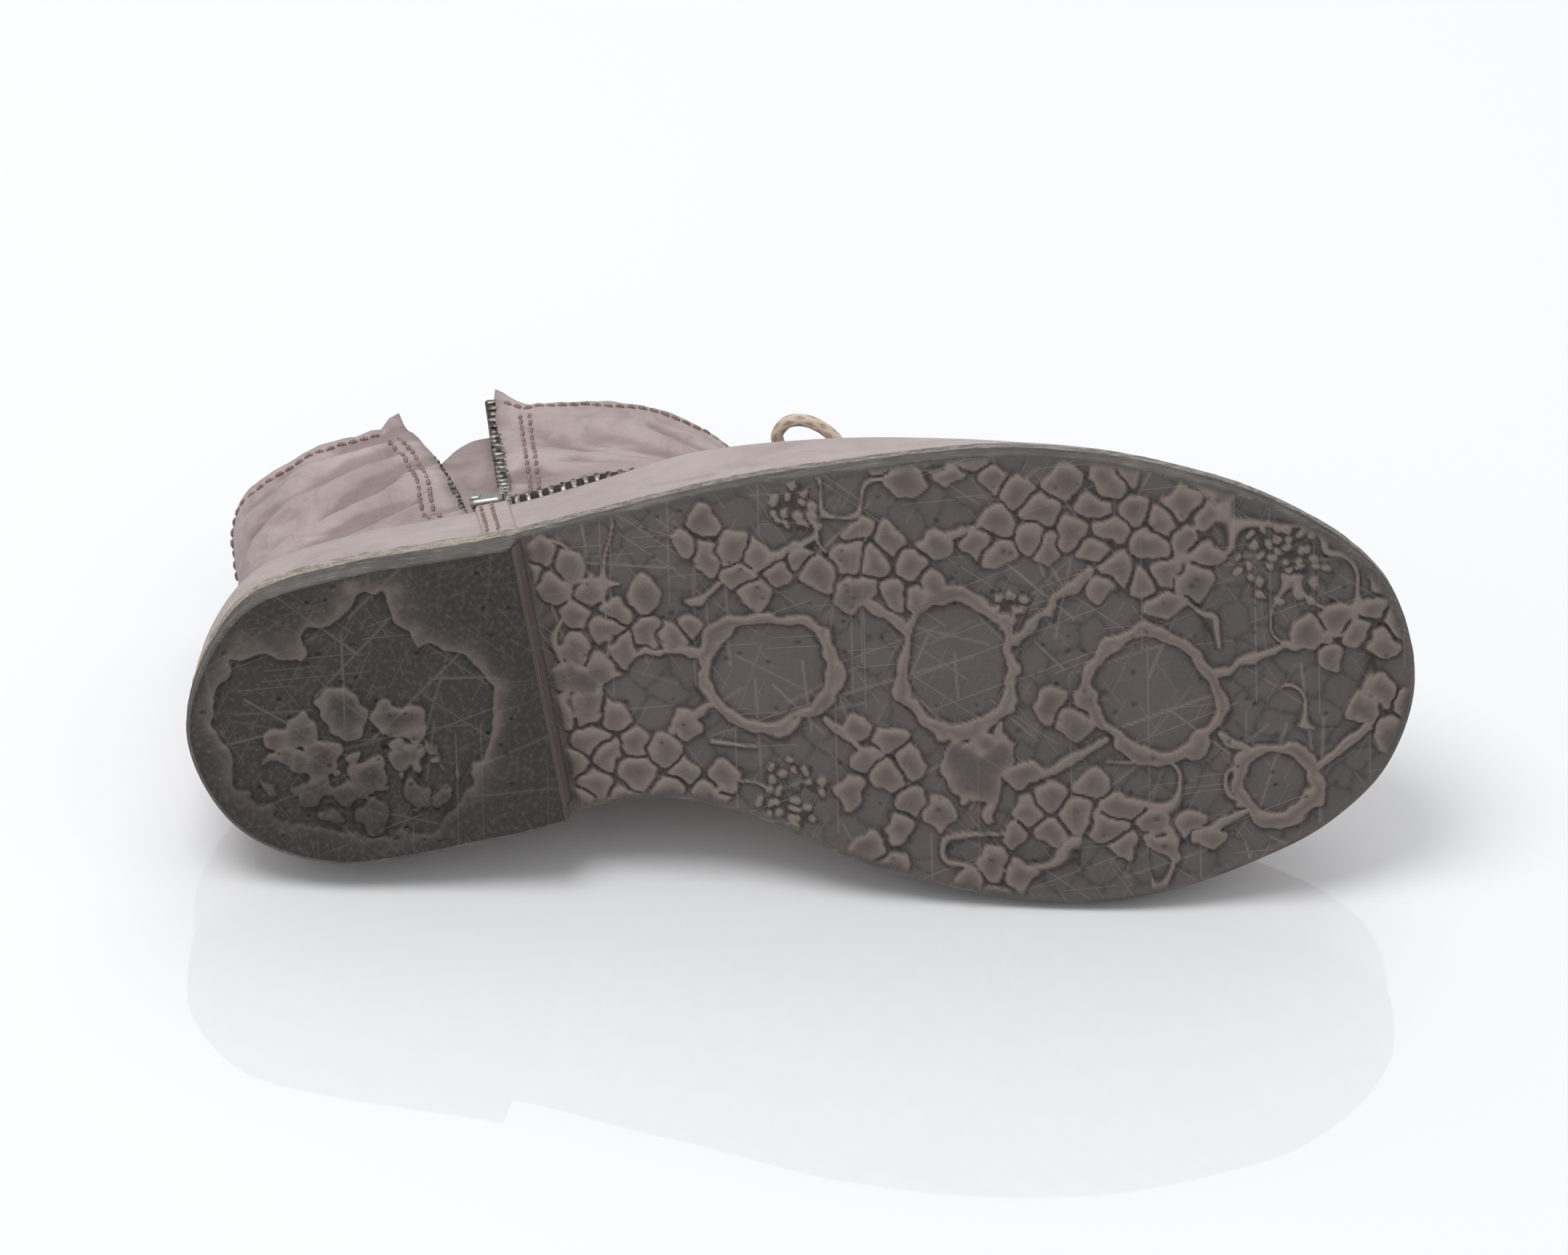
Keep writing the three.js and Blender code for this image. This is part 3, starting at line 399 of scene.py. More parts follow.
tag_metal = Finish("tag_metal")
tarnish = tag_metal.noise(260, 4, 0.6)
tag_metal = tag_metal.end(
    Base_Color=tag_metal.mix(tarnish.between(0.35, 0.7), colour(172, 168, 160), colour(120, 112, 102)),
    Metallic=1.0, Roughness=0.28 + tarnish * 0.2)


def lace_tag(name, route):
    """The metal sleeve pressed on the end of a lace."""
    tip, before = np.array(route[-1]), np.array(route[-2])
    line = (tip - before) / np.linalg.norm(tip - before)
    start = tip - 1.2 * line
    rings = [(0, 1.2), (0.15, 1.46), (0.8, 1.5), (2.2, 1.46), (4.4, 1.42), (6.4, 1.4), (7.0, 1.3),
             (7.3, 0.9), (7.35, 0.3)]
    side = np.cross(line, (0, 0, 1))
    side /= np.linalg.norm(side)
    other = np.cross(line, side)
    points, around = [], 20
    for along, radius in rings:
        for k in range(around):
            angle = 2 * math.pi * k / around
            press = 1 - (0.12 if abs(along - 3) < 2.5 else 0) * math.cos(2 * angle) ** 2
            points.append(start + line * along + (side * math.cos(angle) + other * math.sin(
                angle)) * radius * press)
    faces = [[i * around + k, i * around + (k + 1) % around, (i + 1) * around + (k + 1) % around,
              (i + 1) * around + k] for i in range(len(rings) - 1) for k in range(around)]
    faces += [list(range(around))[::-1], list(range(len(points) - around, len(points)))]
    tag = build(name, laid(*np.array(points).T), faces, tag_metal, soft=False)
    recalculate(tag)
    return tag


for name, route, end in (
        ("lace_loop_outer", LOOP_OUTER, "knot"), ("lace_loop_inner", LOOP_INNER, "knot"),
        ("lace_end_outer", END_OUTER, "fitting"), ("lace_end_inner", END_INNER, "fitting")):
    line = smooth_route(route)
    free_cord = lace_piece(name + "_cord", [line])
    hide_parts(name)
    pieces = [lace_tag(name + "_tag", route)] if end == "fitting" else []
    if name == "lace_loop_outer":
        pieces.append(lace_knot)
    path = laid(*line.T)


# Outsole: one moulded rubber unit with a low heel block. Its tread is a worn relief under a
# millimetre high, of cobbles, rings, bars and pebbles on a scratched ground.
LENGTH, BALL_WIDTH, SHAFT_HEIGHT = 268, 103.3, 104
HEEL_STEP, RUBBER, MIDSOLE, GAP, CHAMFER = 6, 5.5, 3.6, 0.3, 0.8
OUTLINE = np.array([  # share of the length, then outer and inner edge in shares of the ball width
    (0.015, -0.106, -0.387), (0.05, 0.019, -0.494), (0.12, 0.089, -0.556), (0.26, 0.165, -0.49),
    (0.38, 0.257, -0.409), (0.46, 0.313, -0.437), (0.56, 0.364, -0.534), (0.65, 0.394, -0.591),
    (0.735, 0.387, -0.606), (0.81, 0.35, -0.573), (0.88, 0.287, -0.502), (0.94, 0.196, -0.411),
    (0.98, 0.078, -0.3)])
OUTLINE_BACK, OUTLINE_TIP = -0.257, -0.115
LAYERS = np.array([  # share of the length, lift, rubber and midsole
    (0, 1, 0.44, 1.15), (0.28, 1, 0.44, 1.15), (0.4, 0.72, 0.66, 0.98), (0.56, 0.04, 0.98, 0.85),
    (0.62, 0, 1, 0.83), (0.76, 0, 1, 0.83), (0.9, 0.32, 0.97, 0.82), (1, 1.05, 0.87, 0.78)])
BREAST_OUTER, BREAST_INNER, BREAST_SLANT = 0.262 * LENGTH, 0.31 * LENGTH, 0.3 * HEEL_STEP
RELIEF = 1.2

edge_points = np.vstack([
    [(0, OUTLINE_BACK)], OUTLINE[:, [0, 1]], [(1, OUTLINE_TIP)], OUTLINE[::-1][:, [0, 2]],
]) * (LENGTH, BALL_WIDTH)


def ease(value, low, high):
    share = np.clip((value - low) / (high - low), 0, 1)
    return share * share * (3 - 2 * share)


def layer(column, x):
    share = np.clip(np.asarray(x, float) / LENGTH, 0, 1)
    row = np.clip(np.searchsorted(LAYERS[:, 0], share) - 1, 0, len(LAYERS) - 2)
    step = ease(share, LAYERS[row, 0], LAYERS[row + 1, 0])
    return LAYERS[row, column] * (1 - step) + LAYERS[row + 1, column] * step


def plate_under(x):
    return HEEL_STEP * layer(1, x)


def rubber_top(x):
    return plate_under(x) + RUBBER * layer(2, x)


def sole_top(x):
    return rubber_top(x) + GAP + MIDSOLE * layer(3, x)


def edge_at(turn):
    """Points of the sole's outline, from the back of the heel along the outer side."""
    count = len(edge_points)
    run = (np.asarray(turn, float) % 1) * count
    first = np.floor(run).astype(int)
    share = (run - first)[..., None]
    return curve_between(*(edge_points[(first + k) % count] for k in (-1, 0, 1, 2)), share)


def edge_inset(turn, inset):
    along = edge_at(turn + 1e-4) - edge_at(turn - 1e-4)
    along /= np.linalg.norm(along, axis=-1, keepdims=True)
    inward = np.stack([along[..., 1], -along[..., 0]], -1)
    return edge_at(turn) + inward * np.asarray(inset, float)[..., None]


def rough(x, y, size, seed):
    """Smooth random values from -1 to 1 over a plane, in lumps of one size."""
    rng = np.random.default_rng(seed)
    table = rng.uniform(-1, 1, (64, 64))
    u, v = x / size + 500.3, y / size + 500.7
    i, j = np.floor(u).astype(int), np.floor(v).astype(int)
    s, t = ease(u - i, 0, 1), ease(v - j, 0, 1)

    def at(k, m):
        return table[(i + k) % 64, (j + m) % 64]
    return ((at(0, 0) * (1 - s) + at(1, 0) * s) * (1 - t)
            + (at(0, 1) * (1 - s) + at(1, 1) * s) * t)


COBBLES = [  # patches of cobbles: x, out, radius
    (77, 10, 5), (85, 3, 6), (93, -4, 6), (102, -2, 4), (98, 5, 5), (87, -16, 7), (85, -26, 5),
    (91, -37, 6.5), (97, -40, 4), (107, -30, 6), (111, -36, 5), (104, -39, 3.5), (108, 18, 3.5),
    (113, 14, 4), (120, 12, 5), (127, 11, 4.5), (147, 18, 4.5), (142, 10, 4.5), (150, 11, 4),
    (153, 37, 4), (160, 14, 5), (162, 36, 5), (179, 30, 6), (187, 25, 5), (175, 23, 4.5),
    (195, 28, 6), (202, 35, 4), (200, 15, 3.5), (209, 12, 4.5), (217, 13, 4.5), (216, 21, 4),
    (222, 30, 4), (260, 8, 4.5), (263, 1, 3.5), (250, 0, 4), (255, 3, 3), (153, -26, 5),
    (156, -33, 5), (150, -37, 5), (160, -42, 4.5), (153, -47, 4.5), (157, -54, 4), (187, -39, 5),
    (195, -41, 5), (182, -48, 5), (177, -54, 5), (201, -42, 4), (189, -50, 4.5), (207, -47, 4),
    (219, -44, 4.5), (261, -15, 4), (262, -22, 3), (194, -17, 4), (215, -49, 3)]
HOOPS = [  # x, out, half length, half width, turn in degrees
    (127, -11, 14, 12, 25), (168, -8, 12, 15.5, 0), (211, -14, 15, 12.5, -40), (238, -34, 8, 8, 0)]
BARS = [  # from x, out to x, out, half width
    (109, 3, 136, 21, 0.9), (139, -22, 152, -30, 1.0), (143, 8, 158, -1, 1.1), (180, -3, 196, 14, 1.1),
    (224, -8, 249, 0, 1.2), (200, -25, 187, -33, 1.0), (226, -23, 233, -28, 1.0),
    (245, -32, 258, -21, 0.9), (177, -22, 176, -44, 0.9), (96, -9, 114, -8, 0.9),
    (115, -20, 106, -26, 1.0), (231, -41, 222, -47, 0.9), (160, 20, 176, 26, 0.8)]
PEBBLES = [(237.5, 17, 10), (132, 26, 6), (133, -39, 8), (180, 5, 4)]
BLOBS = [(173, -33, 8.5), (86, -16, 4)]
HEEL_FLOOR = np.array([  # corners of the sunken middle of the heel
    (7, -22), (10.7, -9.7), (25, -9.3), (27.6, -3), (33.5, 2.8), (39, 7), (44.5, 6), (46.4, -0.5),
    (50, -7.7), (60, -9.3), (66.4, -16.4), (65, -31), (61, -42), (56, -49), (41, -50.5),
    (22, -48.5), (11.5, -39.8), (8.7, -30.8)])
HEEL_BLOBS = [(34, -22, 5.8), (25, -26.5, 4), (46, -24, 5), (30, -33, 4.4), (40, -36, 4.6),
              (49, -32.5, 3.4), (28.5, -40, 4), (41, -46, 3.4), (24, -34, 3), (36, -41, 3),
              (51, -40, 2.4), (19, -29, 2.2)]


def cells(x, y, pitch, seed, spread=0.38, soft=0.055):
    """Distance to the edge of the nearest cell, the middle of that cell, and its number."""
    rng = np.random.default_rng(seed)
    table = rng.uniform(-spread, spread, (64, 64, 2))
    i, j = np.floor(x / pitch).astype(int), np.floor(y / pitch).astype(int)
    best = np.full(x.shape, 1e9)
    seat = np.zeros(x.shape + (2,))
    label = np.zeros(x.shape, int)
    near = [(k, m) for k in range(-2, 3) for m in range(-2, 3)]

    def middle(k, m):
        shift = table[(i + k) % 64, (j + m) % 64]
        return np.stack([(i + k + 0.5 + shift[..., 0]) * pitch,
                         (j + m + 0.5 + shift[..., 1]) * pitch], -1)
    for k, m in near:
        spot_ = middle(k, m)
        gap = np.hypot(spot_[..., 0] - x, spot_[..., 1] - y)
        closer = gap < best
        best = np.where(closer, gap, best)
        seat[closer] = spot_[closer]
        label = np.where(closer, ((i + k) % 64) * 64 + (j + m) % 64, label)
    total = np.zeros(x.shape)
    for k, m in near:
        other = middle(k, m)
        apart = other - seat
        length = np.linalg.norm(apart, axis=-1)
        far = length > 1e-6
        half = (other + seat) / 2
        reach = ((half[..., 0] - x) * apart[..., 0] + (half[..., 1] - y) * apart[..., 1])
        reach = reach / np.maximum(length, 1e-6)
        total += np.where(far, np.exp(-np.clip(reach, -1, 30) / (soft * pitch)), 0)
    border = -soft * pitch * np.log(np.maximum(total, 1e-12))
    return border, seat, label


def in_patches(points, patches, slack=0.0):
    depth = np.full(points.shape[:-1], -1e9)
    for px, py, radius in patches:
        depth = np.maximum(depth, radius + slack - np.hypot(points[..., 0] - px, points[..., 1] - py))
    return depth


def to_segment(x, y, x1, y1, x2, y2):
    dx, dy = x2 - x1, y2 - y1
    share = np.clip(((x - x1) * dx + (y - y1) * dy) / (dx * dx + dy * dy), 0, 1)
    return np.hypot(x - x1 - share * dx, y - y1 - share * dy)


def inside_polygon(x, y, corners):
    """Distance to a closed polygon, positive inside."""
    depth = np.full(x.shape, 1e9)
    crossed = np.zeros(x.shape, bool)
    for (x1, y1), (x2, y2) in zip(corners, np.roll(corners, -1, 0)):
        depth = np.minimum(depth, to_segment(x, y, x1, y1, x2, y2))
        crosses = (y1 > y) != (y2 > y)
        crossed ^= crosses & (x < (x2 - x1) * (y - y1) / (y2 - y1 + 1e-12) + x1)
    return np.where(crossed, depth, -depth)


def raised_depth(x, out, heel):
    """Distance into the raised parts of the tread, negative over its ground."""
    wx = x + rough(x, out, 6, 3) + 0.6 * rough(x, out, 2.4, 4) + 0.2 * rough(x, out, 1.1, 17)
    wy = out + rough(x, out, 6, 5) + 0.6 * rough(x, out, 2.4, 6) + 0.2 * rough(x, out, 1.1, 18)
    if heel:
        ragged = rough(x, out, 7, 8) * 2.2 + rough(x, out, 3, 9) * 1.1
        depth = -inside_polygon(wx, wy, HEEL_FLOOR) + ragged
        lumps = in_patches(np.stack([wx, wy], -1), HEEL_BLOBS) + 1.6 * rough(x, out, 2.6, 10)
        drops = 4 * (rough(x, out, 3.4, 19) - 0.38) + 1.2 * rough(x, out, 1.6, 27)
        drops = np.where(np.hypot((x - 38) / 22, (out + 37) / 11) < 1, drops, -2)
        return np.maximum(np.maximum(depth, lumps), drops)
    turned = np.radians(38)
    cx = wx * np.cos(turned) - wy * np.sin(turned)
    cy = wx * np.sin(turned) + wy * np.cos(turned)
    border, seat, label = cells(cx, cy, 7.0, 11, 0.29)
    back = np.stack([seat[..., 0] * np.cos(turned) + seat[..., 1] * np.sin(turned),
                     -seat[..., 0] * np.sin(turned) + seat[..., 1] * np.cos(turned)], -1)
    kept = (in_patches(back, COBBLES, 3.0) > 0) & ((label * 7919) % 23 > 1)
    shrunk = 0.16 + 0.4 * ((label * 104729) % 97 / 97) ** 3
    depth = np.where(kept, border - shrunk, -np.abs(border) - 0.5)
    small, small_seat, small_label = cells(wx, wy, 2.7, 12, 0.3)
    in_pebbles = in_patches(small_seat, PEBBLES) > 0
    round_ = 1.12 - np.hypot(small_seat[..., 0] - wx, small_seat[..., 1] - wy)
    joined = np.maximum(round_, -np.abs(small - 0.1) - 0.1)
    depth = np.maximum(depth, np.where(in_pebbles & (small_label % 9 > 0), joined, -2))
    vein = 0.7 - 8 * np.abs(rough(x, out, 9, 23) - 0.1)
    vein = np.where(rough(x, out, 21, 24) > 0.12, vein, -2)
    depth = np.maximum(depth, vein)
    clear = np.full(x.shape, 1e9)
    for px, py, long, wide, angle in HOOPS:
        a = np.radians(angle)
        u = ((wx - px) * np.cos(a) + (wy - py) * np.sin(a)) / long
        v = (-(wx - px) * np.sin(a) + (wy - py) * np.cos(a)) / wide
        radius = np.hypot(u, v) * (long * wide) ** 0.5
        ring = (long * wide) ** 0.5
        width = 1.35 + 0.9 * rough(x, out, 6, 13) + 0.6 * rough(x, out, 3, 25)
        depth = np.where(radius < ring, -5, depth)
        outward = ring + 0.4 + 1.6 * ease(rough(x, out, 7, 26), -0.1, 0.9)
        depth = np.maximum(depth, np.minimum(radius - ring + 1.1, width + outward - radius))
        clear = np.minimum(clear, radius - ring)
    for x1, y1, x2, y2, half in BARS:
        bar = half * (1 + 0.35 * rough(x, out, 4, 14)) - to_segment(wx, wy, x1, y1, x2, y2)
        depth = np.maximum(depth, np.where(clear > -0.5, bar, -5))
    for px, py, radius in BLOBS:
        ragged = radius + 2.8 * rough(x, out, 5, 15) + 1.4 * rough(x, out, 2.4, 16)
        blob = ragged - np.hypot(wx - px, wy - py)
        depth = np.maximum(depth, np.where(clear > 0, blob, -5))
    return depth


def tread(x, out, heel):
    """Height of the tread over its ground, its light rims, partly worn and partly a painted highlight,
    and its scratches.
    """
    depth = raised_depth(x, out, heel)
    height = 0.7 * ease(depth, -0.25, 0.45) + 0.3 * ease(depth, 0.2, 1.9)
    height *= 1 - 0.14 * rough(x, out, 3.5, 20)
    # light rim just inside the edges of the raised parts: partly worn rubber, partly a painted
    # highlight along those edges
    rim = np.exp(-np.maximum(depth - 0.3, 0) / (1.9 if heel else 1.1)) * ease(depth, -0.1, 0.35)
    rng = np.random.default_rng(21 if heel else 22)
    low, high = ((2, -52), (72, 16)) if heel else ((84, -58), (262, 38))
    pits = np.zeros(x.shape)
    for _ in range(60 if heel else 220):
        px, py = rng.uniform(low, high)
        radius = rng.uniform(0.35, 0.7)
        near = np.hypot(x - px, out - py) < 3
        if near.any():
            pits[near] = np.maximum(pits[near], ease(
                radius - np.hypot(x[near] - px, out[near] - py), -0.15, 0.3))
    lines = np.zeros(x.shape)
    for _ in range(34 if heel else 120):
        px, py = rng.uniform(low, high)
        angle, length = rng.uniform(0, np.pi), rng.uniform(8, 30)
        ex, ey = px + length * np.cos(angle), py + length * np.sin(angle)
        lines = np.maximum(lines, rng.uniform(0.3, 1) * ease(
            0.4 - to_segment(x, out, px, py, ex, ey), 0, 0.34))
    lines *= 1 - ease(depth, -0.3, 0.1) * (0.4 if heel else 1)
    rim *= 0.25 + 0.75 * ease(out, -46, -30) if heel else 1
    return height + 0.13 * lines - 0.5 * pits, rim, lines


def edge_side(inset, outer):
    turns = np.linspace(0, 0.5, 4000) if outer else np.linspace(1, 0.5, 4000)
    line = edge_inset(turns, np.full(turns.shape, inset))
    order = np.argsort(line[:, 0])
    return line[order, 0], line[order, 1]


def tread_grid(middles, skews, count):
    """Grid points of the tread, row by row from heel to toe and from the outer to the inner edge."""
    half = skews * (BREAST_INNER - BREAST_OUTER) / 2
    ends = []
    for outer, x in ((True, middles - half), (False, middles + half)):
        xs, outs = edge_side(CHAMFER, outer)
        ends.append(np.stack([x, np.interp(x, xs, outs)], -1))
    share = np.linspace(0, 1, count)[None, :, None]
    grid = ends[0][:, None] * (1 - share) + ends[1][:, None] * share
    return grid[..., 0], grid[..., 1]


def from_edge(x, out):
    line = edge_inset(np.linspace(0, 1, 500), np.full(500, CHAMFER))
    flat = np.stack([x.ravel(), out.ravel()], -1)
    gap = np.concatenate([
        np.sqrt(((part[:, None] - line[None]) ** 2).sum(-1).min(1)) for part in
        np.array_split(flat, max(1, len(flat) // 8000))])
    return gap.reshape(x.shape)


def grid_faces(rows, columns, around=False, turned=False, start=0):
    """Quads over a grid of points, closed around where its columns meet."""
    wide = columns if around else columns - 1
    i, j = np.meshgrid(np.arange(rows - 1), np.arange(wide), indexing="ij")
    k = (j + 1) % columns
    quads = np.stack([i * columns + j, i * columns + k, (i + 1) * columns + k,
                      (i + 1) * columns + j], -1).reshape(-1, 4) + start
    return (quads[:, ::-1] if turned else quads).tolist()


def rubber_finish(name, worn, ground_tone, scuff_and_highlight=1.0):
    rubber = Finish(name)
    place = rubber.place()
    marks = None
    rng = np.random.default_rng(31)
    for number, (wide, long, share) in enumerate((
            (0.4, 12, 0.98), (0.5, 24, 0.982), (0.35, 6, 0.975), (0.55, 36, 0.984),
            (0.38, 9, 0.98), (0.5, 18, 0.984))):
        angle = math.radians(number * 31 + rng.uniform(-9, 9))
        run = math.cos(angle) * FORWARD - math.sin(angle) * INWARD
        side = -math.sin(angle) * FORWARD - math.cos(angle) * INWARD
        b = rubber.node("ShaderNodeVectorMath", {"operation": "DOT_PRODUCT"},
                        {0: place, 1: tuple(side * 1000 / wide)}, 1)
        a = rubber.node("ShaderNodeVectorMath", {"operation": "DOT_PRODUCT"},
                        {0: place, 1: tuple(run * 1000 / long)}, 1)
        row = b.math("FLOOR")
        shift = rubber.node("ShaderNodeTexWhiteNoise", {"noise_dimensions": "1D"}, {"W": row})
        part = (a + shift).math("FLOOR")
        key = rubber.node("ShaderNodeCombineXYZ", {}, {0: row, 1: part, 2: number})
        pick = rubber.node("ShaderNodeTexWhiteNoise", {"noise_dimensions": "3D"}, {"Vector": key})
        ridge = 1 - ((b.math("FRACT") * 2) - 1).math("ABSOLUTE")
        line = pick.math("GREATER_THAN", share) * ridge
        marks = line if marks is None else marks.math("MAXIMUM", line)
    height = rubber.attribute("height")
    rim = rubber.attribute("rim")
    lines = rubber.attribute("lines")
    crease = rubber.attribute("crease")
    cloud = rubber.noise(60, 4, 0.6)
    grain = rubber.noise(900, 3, 0.6)
    marks = marks * (1 - height * 0.6)
    tone = rubber.mix(height, colour(*ground_tone), colour(*worn))
    # light rims of the raised parts: partly worn rubber, partly a painted highlight along their edges
    tone = rubber.mix(rim * (0.9 * scuff_and_highlight) * (0.6 + cloud * 0.8), tone, colour(150, 135, 128))
    # painted shade: near black in the grooves at the foot of the raised parts of the tread
    tone = rubber.mix(crease * 0.85, tone, colour(38, 35, 33))
    worn_line = (lines * 0.5).math("MAXIMUM", marks * 0.42) * scuff_and_highlight
    tone = rubber.mix(worn_line, tone, colour(150, 139, 131))
    tone = rubber.mix(cloud.between(0.4, 0.75) * 0.25, tone, colour(60, 56, 54))
    tone = rubber.mix(grain.between(0.45, 0.7) * 0.3, tone, colour(104, 97, 93))
    relief = marks * 0.1 + cloud * 0.04 + grain * 0.16
    return rubber.end(
        Base_Color=tone, Roughness=0.52 + cloud * 0.16, Specular_IOR_Level=0.25,
        Normal=rubber.bump(relief, 0.001, 0.9))


heel_rubber = rubber_finish("heel_rubber", (54, 50, 48), (58, 55, 53), 0.6)
tread_rubber = rubber_finish("tread_rubber", (86, 79, 76), (92, 86, 84))

heel_rows = np.concatenate([0.86 + 9 * np.linspace(0, 1, 50)[:-1] ** 2,
                            np.arange(9.86, (BREAST_OUTER + BREAST_INNER) / 2, 0.3)])
heel_rows[-1] = (BREAST_OUTER + BREAST_INNER) / 2
heel_x, heel_out = tread_grid(heel_rows, ease(heel_rows, 25, 76), 210)
relief, rim, lines = tread(heel_x, heel_out, True)
border = ease(from_edge(heel_x, heel_out), 0.1, 1.4)
to_breast = heel_rows[-1] - heel_rows[:, None] + 0 * heel_x
border *= ease(to_breast, 0.1, 1.2)
relief = relief * border + (1 - border)
heel_up = RELIEF * (1 - relief)
# painted shade mask: strongest just outside the edges of the raised parts, in the grooves at their
# foot
crease = np.exp(-np.abs(raised_depth(heel_x, heel_out, True) + 0.3) / 0.4)
face = np.linspace(0, 1, 16)[1:, None]
breast_x = heel_x[-1] + BREAST_SLANT * face + 0.12 * np.sin(face * 19)
breast_out = heel_out[-1] + 0 * face
breast_up = (HEEL_STEP + RELIEF * 0.6) * face + 0 * heel_x[-1]
rows = len(heel_x) + len(breast_x)
fill = np.zeros(breast_x.shape)
heel_tread = build(
    "heel_tread", laid(np.vstack([heel_x, breast_x]), np.vstack([heel_out, breast_out]),
                       np.vstack([heel_up, breast_up])),
    grid_faces(rows, 210), heel_rubber,
    {"height": np.vstack([relief.clip(0, 1), fill + 0.7]),
     "rim": np.vstack([rim * border, fill + 0.72 + 0.25 * np.sin(face * 26)]),
     "lines": np.vstack([lines, fill]), "crease": np.vstack([crease * border, fill])})

start = (BREAST_OUTER + BREAST_INNER) / 2 + BREAST_SLANT
fore_rows = np.concatenate([np.arange(start, 257, 0.42),
                            267.14 - 10.14 * np.linspace(1, 0, 52) ** 2])
fore_x, fore_out = tread_grid(fore_rows, 1 - ease(fore_rows, start, 140), 196)
relief, rim, lines = tread(fore_x, fore_out, False)
border = ease(from_edge(fore_x, fore_out), 0.2, 1.8)
border *= ease(fore_rows[:, None] - start, 0.3, 1.8) + 0 * fore_x
relief = relief * border + 0.25 * (1 - border)
# painted shade mask: strongest just outside the edges of the raised parts, in the grooves at their
# foot
crease = np.exp(-np.abs(raised_depth(fore_x, fore_out, False) + 0.3) / 0.4)
fore_up = plate_under(fore_x) + RELIEF * (1 - relief)
fore_tread = build(
    "fore_tread", laid(fore_x, fore_out, fore_up), grid_faces(*fore_x.shape), tread_rubber,
    {"height": relief.clip(0, 1), "rim": rim * border, "lines": lines,
     "crease": crease * border})


def ring_points(turns, profile):
    """Rings around the sole from inset and height, each a function of x and turn."""
    points = []
    for inset, height in profile:
        flat = edge_inset(turns, np.full(turns.shape, 0.0) + inset(turns))
        points.append(laid(flat[:, 0], flat[:, 1], height(flat[:, 0], turns)))
    return np.array(points)


def edge_foot(x, turns):
    breast = np.where(turns < 0.5, BREAST_OUTER, BREAST_INNER)
    ahead = np.clip((x - breast) / BREAST_SLANT, 0, 1)
    return ahead * (plate_under(x) + RELIEF * 0.75)


WALL_TURNS = np.linspace(0, 1, 1500, endpoint=False)
wall_profile = [(lambda t: 3.0 + 0 * t, lambda x, t: edge_foot(x, t) + 1.3)]
for bend in np.linspace(0, 1, 7):
    angle = bend * math.pi / 2
    wall_profile.append((
        lambda t, a=angle: CHAMFER * (1 - math.sin(a)) + 0 * t,
        lambda x, t, a=angle: edge_foot(x, t) + CHAMFER * (1 - math.cos(a)) * 0.8))
RIBS = 22
for k in range(1, RIBS + 1):
    share = k / RIBS
    wall_profile.append((
        lambda t, s=share: 0.10 + 0.16 * np.sin(s * 34) * ease(s, 0.35, 0.5) + 0.12 * rough(
            edge_at(t)[:, 0], edge_at(t)[:, 1] + 60 * s, 4, 41),
        lambda x, t, s=share: (edge_foot(x, t) + 0.8 * CHAMFER) * (1 - s) + rubber_top(x) * s))
wall_profile.append((lambda t: 7.0 + 0 * t, lambda x, t: rubber_top(x)))
wall_points = ring_points(WALL_TURNS, wall_profile)
edge_rubber = Finish("edge_rubber")
cloud = edge_rubber.noise(90, 5, 0.65)
streak = edge_rubber.noise(1, 4, 0.7, edge_rubber.stretched((90, 900, 900), (math.atan2(
    UPWARD[2], UPWARD[1]), 0, 0)))
tone = edge_rubber.mix(cloud.between(0.3, 0.75), colour(70, 66, 63), colour(98, 92, 87))
tone = edge_rubber.mix(streak.between(0.52, 0.7) * 0.5, tone, colour(134, 127, 119))
edge_rubber = edge_rubber.end(
    Base_Color=tone, Roughness=0.6, Normal=edge_rubber.bump(streak + cloud * 0.4, 0.0004, 0.7))
outsole_wall = build(
    "outsole_wall", wall_points,
    grid_faces(len(wall_points), len(WALL_TURNS), around=True, turned=True), edge_rubber)
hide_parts("outsole")

# Midsole: a thin stack of leather board on the rubber, its edge raw. It is pale and split at the
# heel and darker with fine ribs along the waist and forefoot. The insole board lies on it inside.
STACK = 18
stack_profile = [(lambda t: 8.0 + 0 * t, lambda x, t: rubber_top(x) + 0.05)]
for k in range(STACK + 1):
    share = k / STACK
    rounding = 0.5 * max(0, abs(share - 0.5) * 2 - 0.8) / 0.2
    stack_profile.append((
        lambda t, s=share, r=rounding: 0.15 + r + 0.22 * np.abs(np.sin(s * 11)) ** 3 + 0.3 * rough(
            edge_at(t)[:, 0], edge_at(t)[:, 1] + 90 * s, 2.6, 51) * (
                1 - 0.7 * ease(edge_at(t)[:, 0], 55, 90)),
        lambda x, t, s=share: rubber_top(x) * (1 - s) + sole_top(x) * s + 0.05))
stack_profile.append((lambda t: 8.0 + 0 * t, lambda x, t: sole_top(x) + 0.05))
stack_points = ring_points(WALL_TURNS, stack_profile)
turn_x = edge_at(WALL_TURNS)[:, 0]
pale = 1 - ease(turn_x + 4 * rough(turn_x, 0 * turn_x, 3, 52), 60, 78)
board = Finish("stacked_board")
fibre = board.noise(1, 5, 0.75, board.stretched((140, 1500, 1500), (math.atan2(
    UPWARD[2], UPWARD[1]), 0, 0)))
speck = board.noise(700, 3, 0.7)
light = board.mix(fibre.between(0.35, 0.65), colour(138, 129, 118), colour(188, 180, 168))
dark = board.mix(fibre.between(0.4, 0.62), colour(112, 107, 103), colour(164, 158, 153))
tone = board.mix(board.attribute("pale"), dark, light)
tone = board.mix(speck.between(0.55, 0.75) * 0.5, tone, colour(84, 74, 62))
